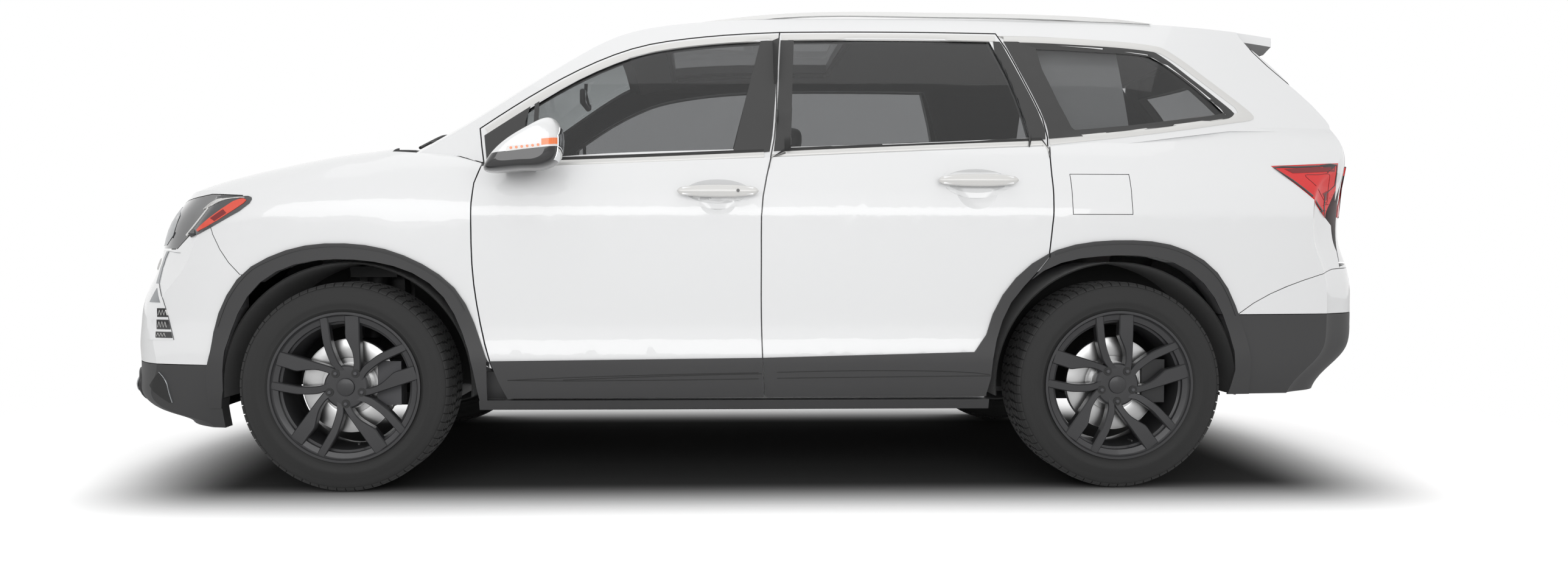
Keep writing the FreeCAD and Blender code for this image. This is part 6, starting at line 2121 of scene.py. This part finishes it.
@dataclass
class Cabin:
    """Seats, headliner, dashboard, steering wheel, inside mirror and front wipers.

    Attributes:
        ring: Radius of the steering wheel's middle line.
        hub: Centre of the steering wheel, X along the wheelbase.
    """

    ring: float = 0.182
    hub: Triple = (-0.4748, -0.370, 1.0178)

    def seats(self) -> None:
        """Build the three rows of seats."""
        front: list[bpy.types.Object] = []
        for w in SIDES.values():
            front += Seat(-0.420, w * 0.370, 0.510, 0.590).build()
            for edge in (-0.262, 0.262):
                y = w * 0.370 + edge * 0.86
                front.append(cabin_box("side_shield", (-0.350, y - 0.012, 0.500), (0.030, y + 0.012, 0.600),
                                       Look.SOFT_TRIM, 0.010))
            front.append(cabin_box("frame", (-0.355, w * 0.370 - 0.185, 0.354),
                                   (-0.005, w * 0.370 + 0.185, 0.585), Look.CHASSIS, 0.008))
        whole = joined("front_seats_upholstery", front)
        settle(whole, "body")
        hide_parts("front_seats")
        rear: list[bpy.types.Object] = []
        for y in (-0.425, 0.0, 0.425):
            rear += Seat(0.500, y, 0.405, 0.550, top=0.700, lean=math.radians(16.0), bolsters=False,
                         head=0.225).build()
        rear.append(cabin_box("frame", (0.565, -0.595, 0.354), (0.955, 0.595, 0.590), Look.CHASSIS, 0.008))
        for w in SIDES.values():
            rear += Seat(1.460, w * 0.262, 0.505, 0.470, top=0.700, bolsters=False, length=0.42,
                         head=0.0).build()
        rear.append(cabin_box("frame", (1.505, -0.475, 0.354), (1.845, 0.475, 0.600), Look.CHASSIS, 0.008))
        whole = joined("rear_seats_upholstery", rear)
        settle(whole, "body")
        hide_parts("rear_seats")

    def headliner(self) -> None:
        """Hang the headliner with its opening under the glass roof."""
        probe = Probe("roof_panel")
        flat = Probe("roof_panel", "fixed_glass")

        def under(x: float, y: float) -> Vector:
            """Underside of the roof over a place of the plan.

            Args:
                x: Place along the wheelbase.
                y: Place across the car.

            Returns:
                The point, 6 mm below the roof.
            """
            hits = (solid.cast((x + MID, y, 1.5), (0.0, 0.0, 1.0)) for solid in (probe, flat))
            spot = next((hit for hit in hits if hit is not None), Vector((x + MID, y, 1.72)))
            return spot - Vector((0.0, 0.0, 0.006))

        parts = []
        for low_x, high_x, low_y, high_y in ((-0.43, -0.265, -0.585, 0.585), (0.495, 1.95, -0.585, 0.585),
                                             (-0.265, 0.495, -0.585, -0.445), (-0.265, 0.495, 0.445, 0.585)):
            ring = [(low_x, low_y), (high_x, low_y), (high_x, high_y), (low_x, high_y)]
            parts.append(patch("cloth", ring, under, (0.0, 0.0, -1.0), 0.010, Look.PALE_TRIM, 0.08))
        rims = [[(x, y) for x in (-0.24, 0.0, 0.24, 0.47)] for y in (-0.440, 0.440)]
        rims += [[(x, y) for y in (-0.43, -0.15, 0.15, 0.43)] for x in (-0.265, 0.490)]
        for rim in rims:
            line = [under(x, y) - Vector((0.0, 0.0, 0.008)) for x, y in rim]
            parts.append(tube("rim", line, 0.010, Look.SOFT_TRIM, 3, 8))
        settle(joined("headliner", parts), "body")

    def dashboard(self) -> None:
        """Build dashboard, instruments, vents, screen, console, column and lever."""
        section = [(-1.030, 1.000), (-0.980, 1.062), (-0.860, 1.076), (-0.760, 1.066), (-0.700, 1.030),
                   (-0.655, 0.985), (-0.648, 0.940), (-0.672, 0.905), (-0.720, 0.880), (-0.800, 0.868),
                   (-1.030, 0.868)]
        rows = []
        for k in range(17):
            y = -0.752 + 1.504 * k / 16.0
            end = 1.0 - 0.10 * max(0.0, abs(y) - 0.64) / 0.112
            rows.append([(-0.85 + (x + 0.85) * end + MID, y, 0.96 + (z - 0.96) * end) for x, z in section])
        points = [p for row in rows for p in row]
        faces = run_faces(len(rows), len(section))
        top = subdivided(facing_out(new_piece("dash_top", points, faces, Look.SOFT_TRIM)), 1)
        column = tube("column", [(-0.66 + MID, -0.370, 0.952), (-0.50 + MID, -0.370, 1.006)], 0.031,
                      Look.SOFT_TRIM, 1, 16)
        parts = [top, column,
                 cabin_box("link", (-0.755, -0.102, 0.520), (-0.650, 0.102, 0.890), Look.SOFT_TRIM, 0.014),
                 cabin_box("console", (-0.695, -0.102, 0.354), (0.145, 0.102, 0.590), Look.SOFT_TRIM, 0.014),
                 moved(pad("arm_rest", (0.300, 0.190, 0.055), Look.LEATHER, 0.006, cells=14),
                       (-0.020, 0.0, 0.610)),
                 cabin_box("screen", (-0.662, -0.095, 0.925), (-0.650, 0.095, 1.030), Look.GLOSS_BLACK,
                           0.004),
                 cabin_box("cluster", (-0.690, -0.500, 0.985), (-0.676, -0.240, 1.052), Look.GLOSS_BLACK,
                           0.006)]
        for y in (-0.660, -0.165, 0.165, 0.660):
            parts.append(cabin_box("vent", (-0.668, y - 0.050, 0.950), (-0.648, y + 0.050, 0.995),
                                   Look.GLOSS_BLACK, 0.006))
            for k in range(4):
                z = 0.957 + 0.0105 * k
                parts.append(cabin_box("blade", (-0.652, y - 0.045, z), (-0.645, y + 0.045, z + 0.003),
                                       Look.CHROME, 0.001))
        parts.append(tube("lever", [(-0.380 + MID, 0.0, 0.585), (-0.372 + MID, 0.0, 0.632)], 0.010,
                          Look.CHROME, 1, 10))
        whole = joined("dashboard_and_console", parts)
        settle(whole, "body")
        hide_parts("dashboard")

    def steering_wheel(self) -> None:
        """Build the leather ring, three spokes and the padded middle."""
        axis = Vector((1.0, 0.0, 0.35)).normalized()
        turn = axis.to_track_quat("Z", "Y").to_matrix().to_4x4()
        place = Matrix.Translation(Vector((self.hub[0] + MID, self.hub[1], self.hub[2]))) @ turn
        loop = [(*spot, 0.0) for spot in oval(24, self.ring, self.ring)]
        ring = tube("ring", loop, 0.0145, Look.LEATHER, 3, 12, True)
        parts = [ring]
        for angle in (0.0, math.pi, math.pi / 2.0):
            spoke = rounded_box("spoke", (0.045, -0.016, -0.007), (self.ring, 0.016, 0.007),
                                Look.SOFT_TRIM, 0.006)
            spoke.data.transform(Matrix.Rotation(angle + math.pi / 2.0, 4, "Z"))
            parts.append(spoke)
        parts.append(pad("middle", (0.120, 0.124, 0.042), Look.SOFT_TRIM, 0.004, 3.2, cells=14))
        whole = joined("steering_wheel_trim", parts)
        whole.data.transform(place)
        settle(whole, "steering_wheel")
        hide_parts("steering_wheel")

    def small(self) -> None:
        """Hang the inside mirror and lay the wipers."""
        case = cabin_box("case", (-0.655, -0.125, 1.515), (-0.630, 0.125, 1.585), Look.SOFT_TRIM, 0.011)
        glass = cabin_box("glass", (-0.632, -0.116, 1.523), (-0.6285, 0.116, 1.577), Look.MIRROR, 0.001)
        stalk = tube("stalk", [(-0.642 + MID, 0.0, 1.58), (-0.640 + MID, 0.0, 1.622)], 0.008,
                     Look.SOFT_TRIM, 1)
        settle(joined("inside_mirror", [case, glass, stalk]), "body")
        screen = Probe("windscreen", "cowl", "hood")

        def over(x: float, y: float, lift: float) -> Vector:
            """Point above the windscreen."""
            spot = screen.touch((x + MID, y, 2.6), (0.0, 0.0, -1.0), (x + MID, y, 1.3))
            return spot + Vector((0.0, 0.0, lift))

        for key, root, tip in (("left", -0.60, 0.02), ("right", -0.02, 0.56)):
            arm = tube("arm", [over(-1.222, root, 0.010), over(-1.205, root + (tip - root) * 0.45, 0.020),
                               over(-1.190, root + (tip - root) * 0.60, 0.014)], 0.006, Look.SEAL)
            blade = tube("blade", [over(-1.198, root + 0.06, 0.006),
                                   over(-1.185, (root + tip) / 2.0 + 0.06, 0.006),
                                   over(-1.172, tip, 0.006)], 0.0048, Look.SEAL)
            settle(joined(f"front_wiper_{key}", [arm, blade]), "body")

    def build(self) -> None:
        """Make every piece of the cabin."""
        self.seats()
        self.headliner()
        self.dashboard()
        self.steering_wheel()
        self.small()


def main() -> None:
    """Build the car's visible pieces in order."""
    logging.basicConfig(level=logging.INFO, format="%(message)s")
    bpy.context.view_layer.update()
    Studio().build()
    Shell().build()
    for corner in CORNERS:
        Wheel(corner).build()
    for sign in SIDES.values():
        SideTrim(sign).build()
    Face().build()
    Tail().build()
    Cabin().build()


if __name__ == "__main__":
    main()
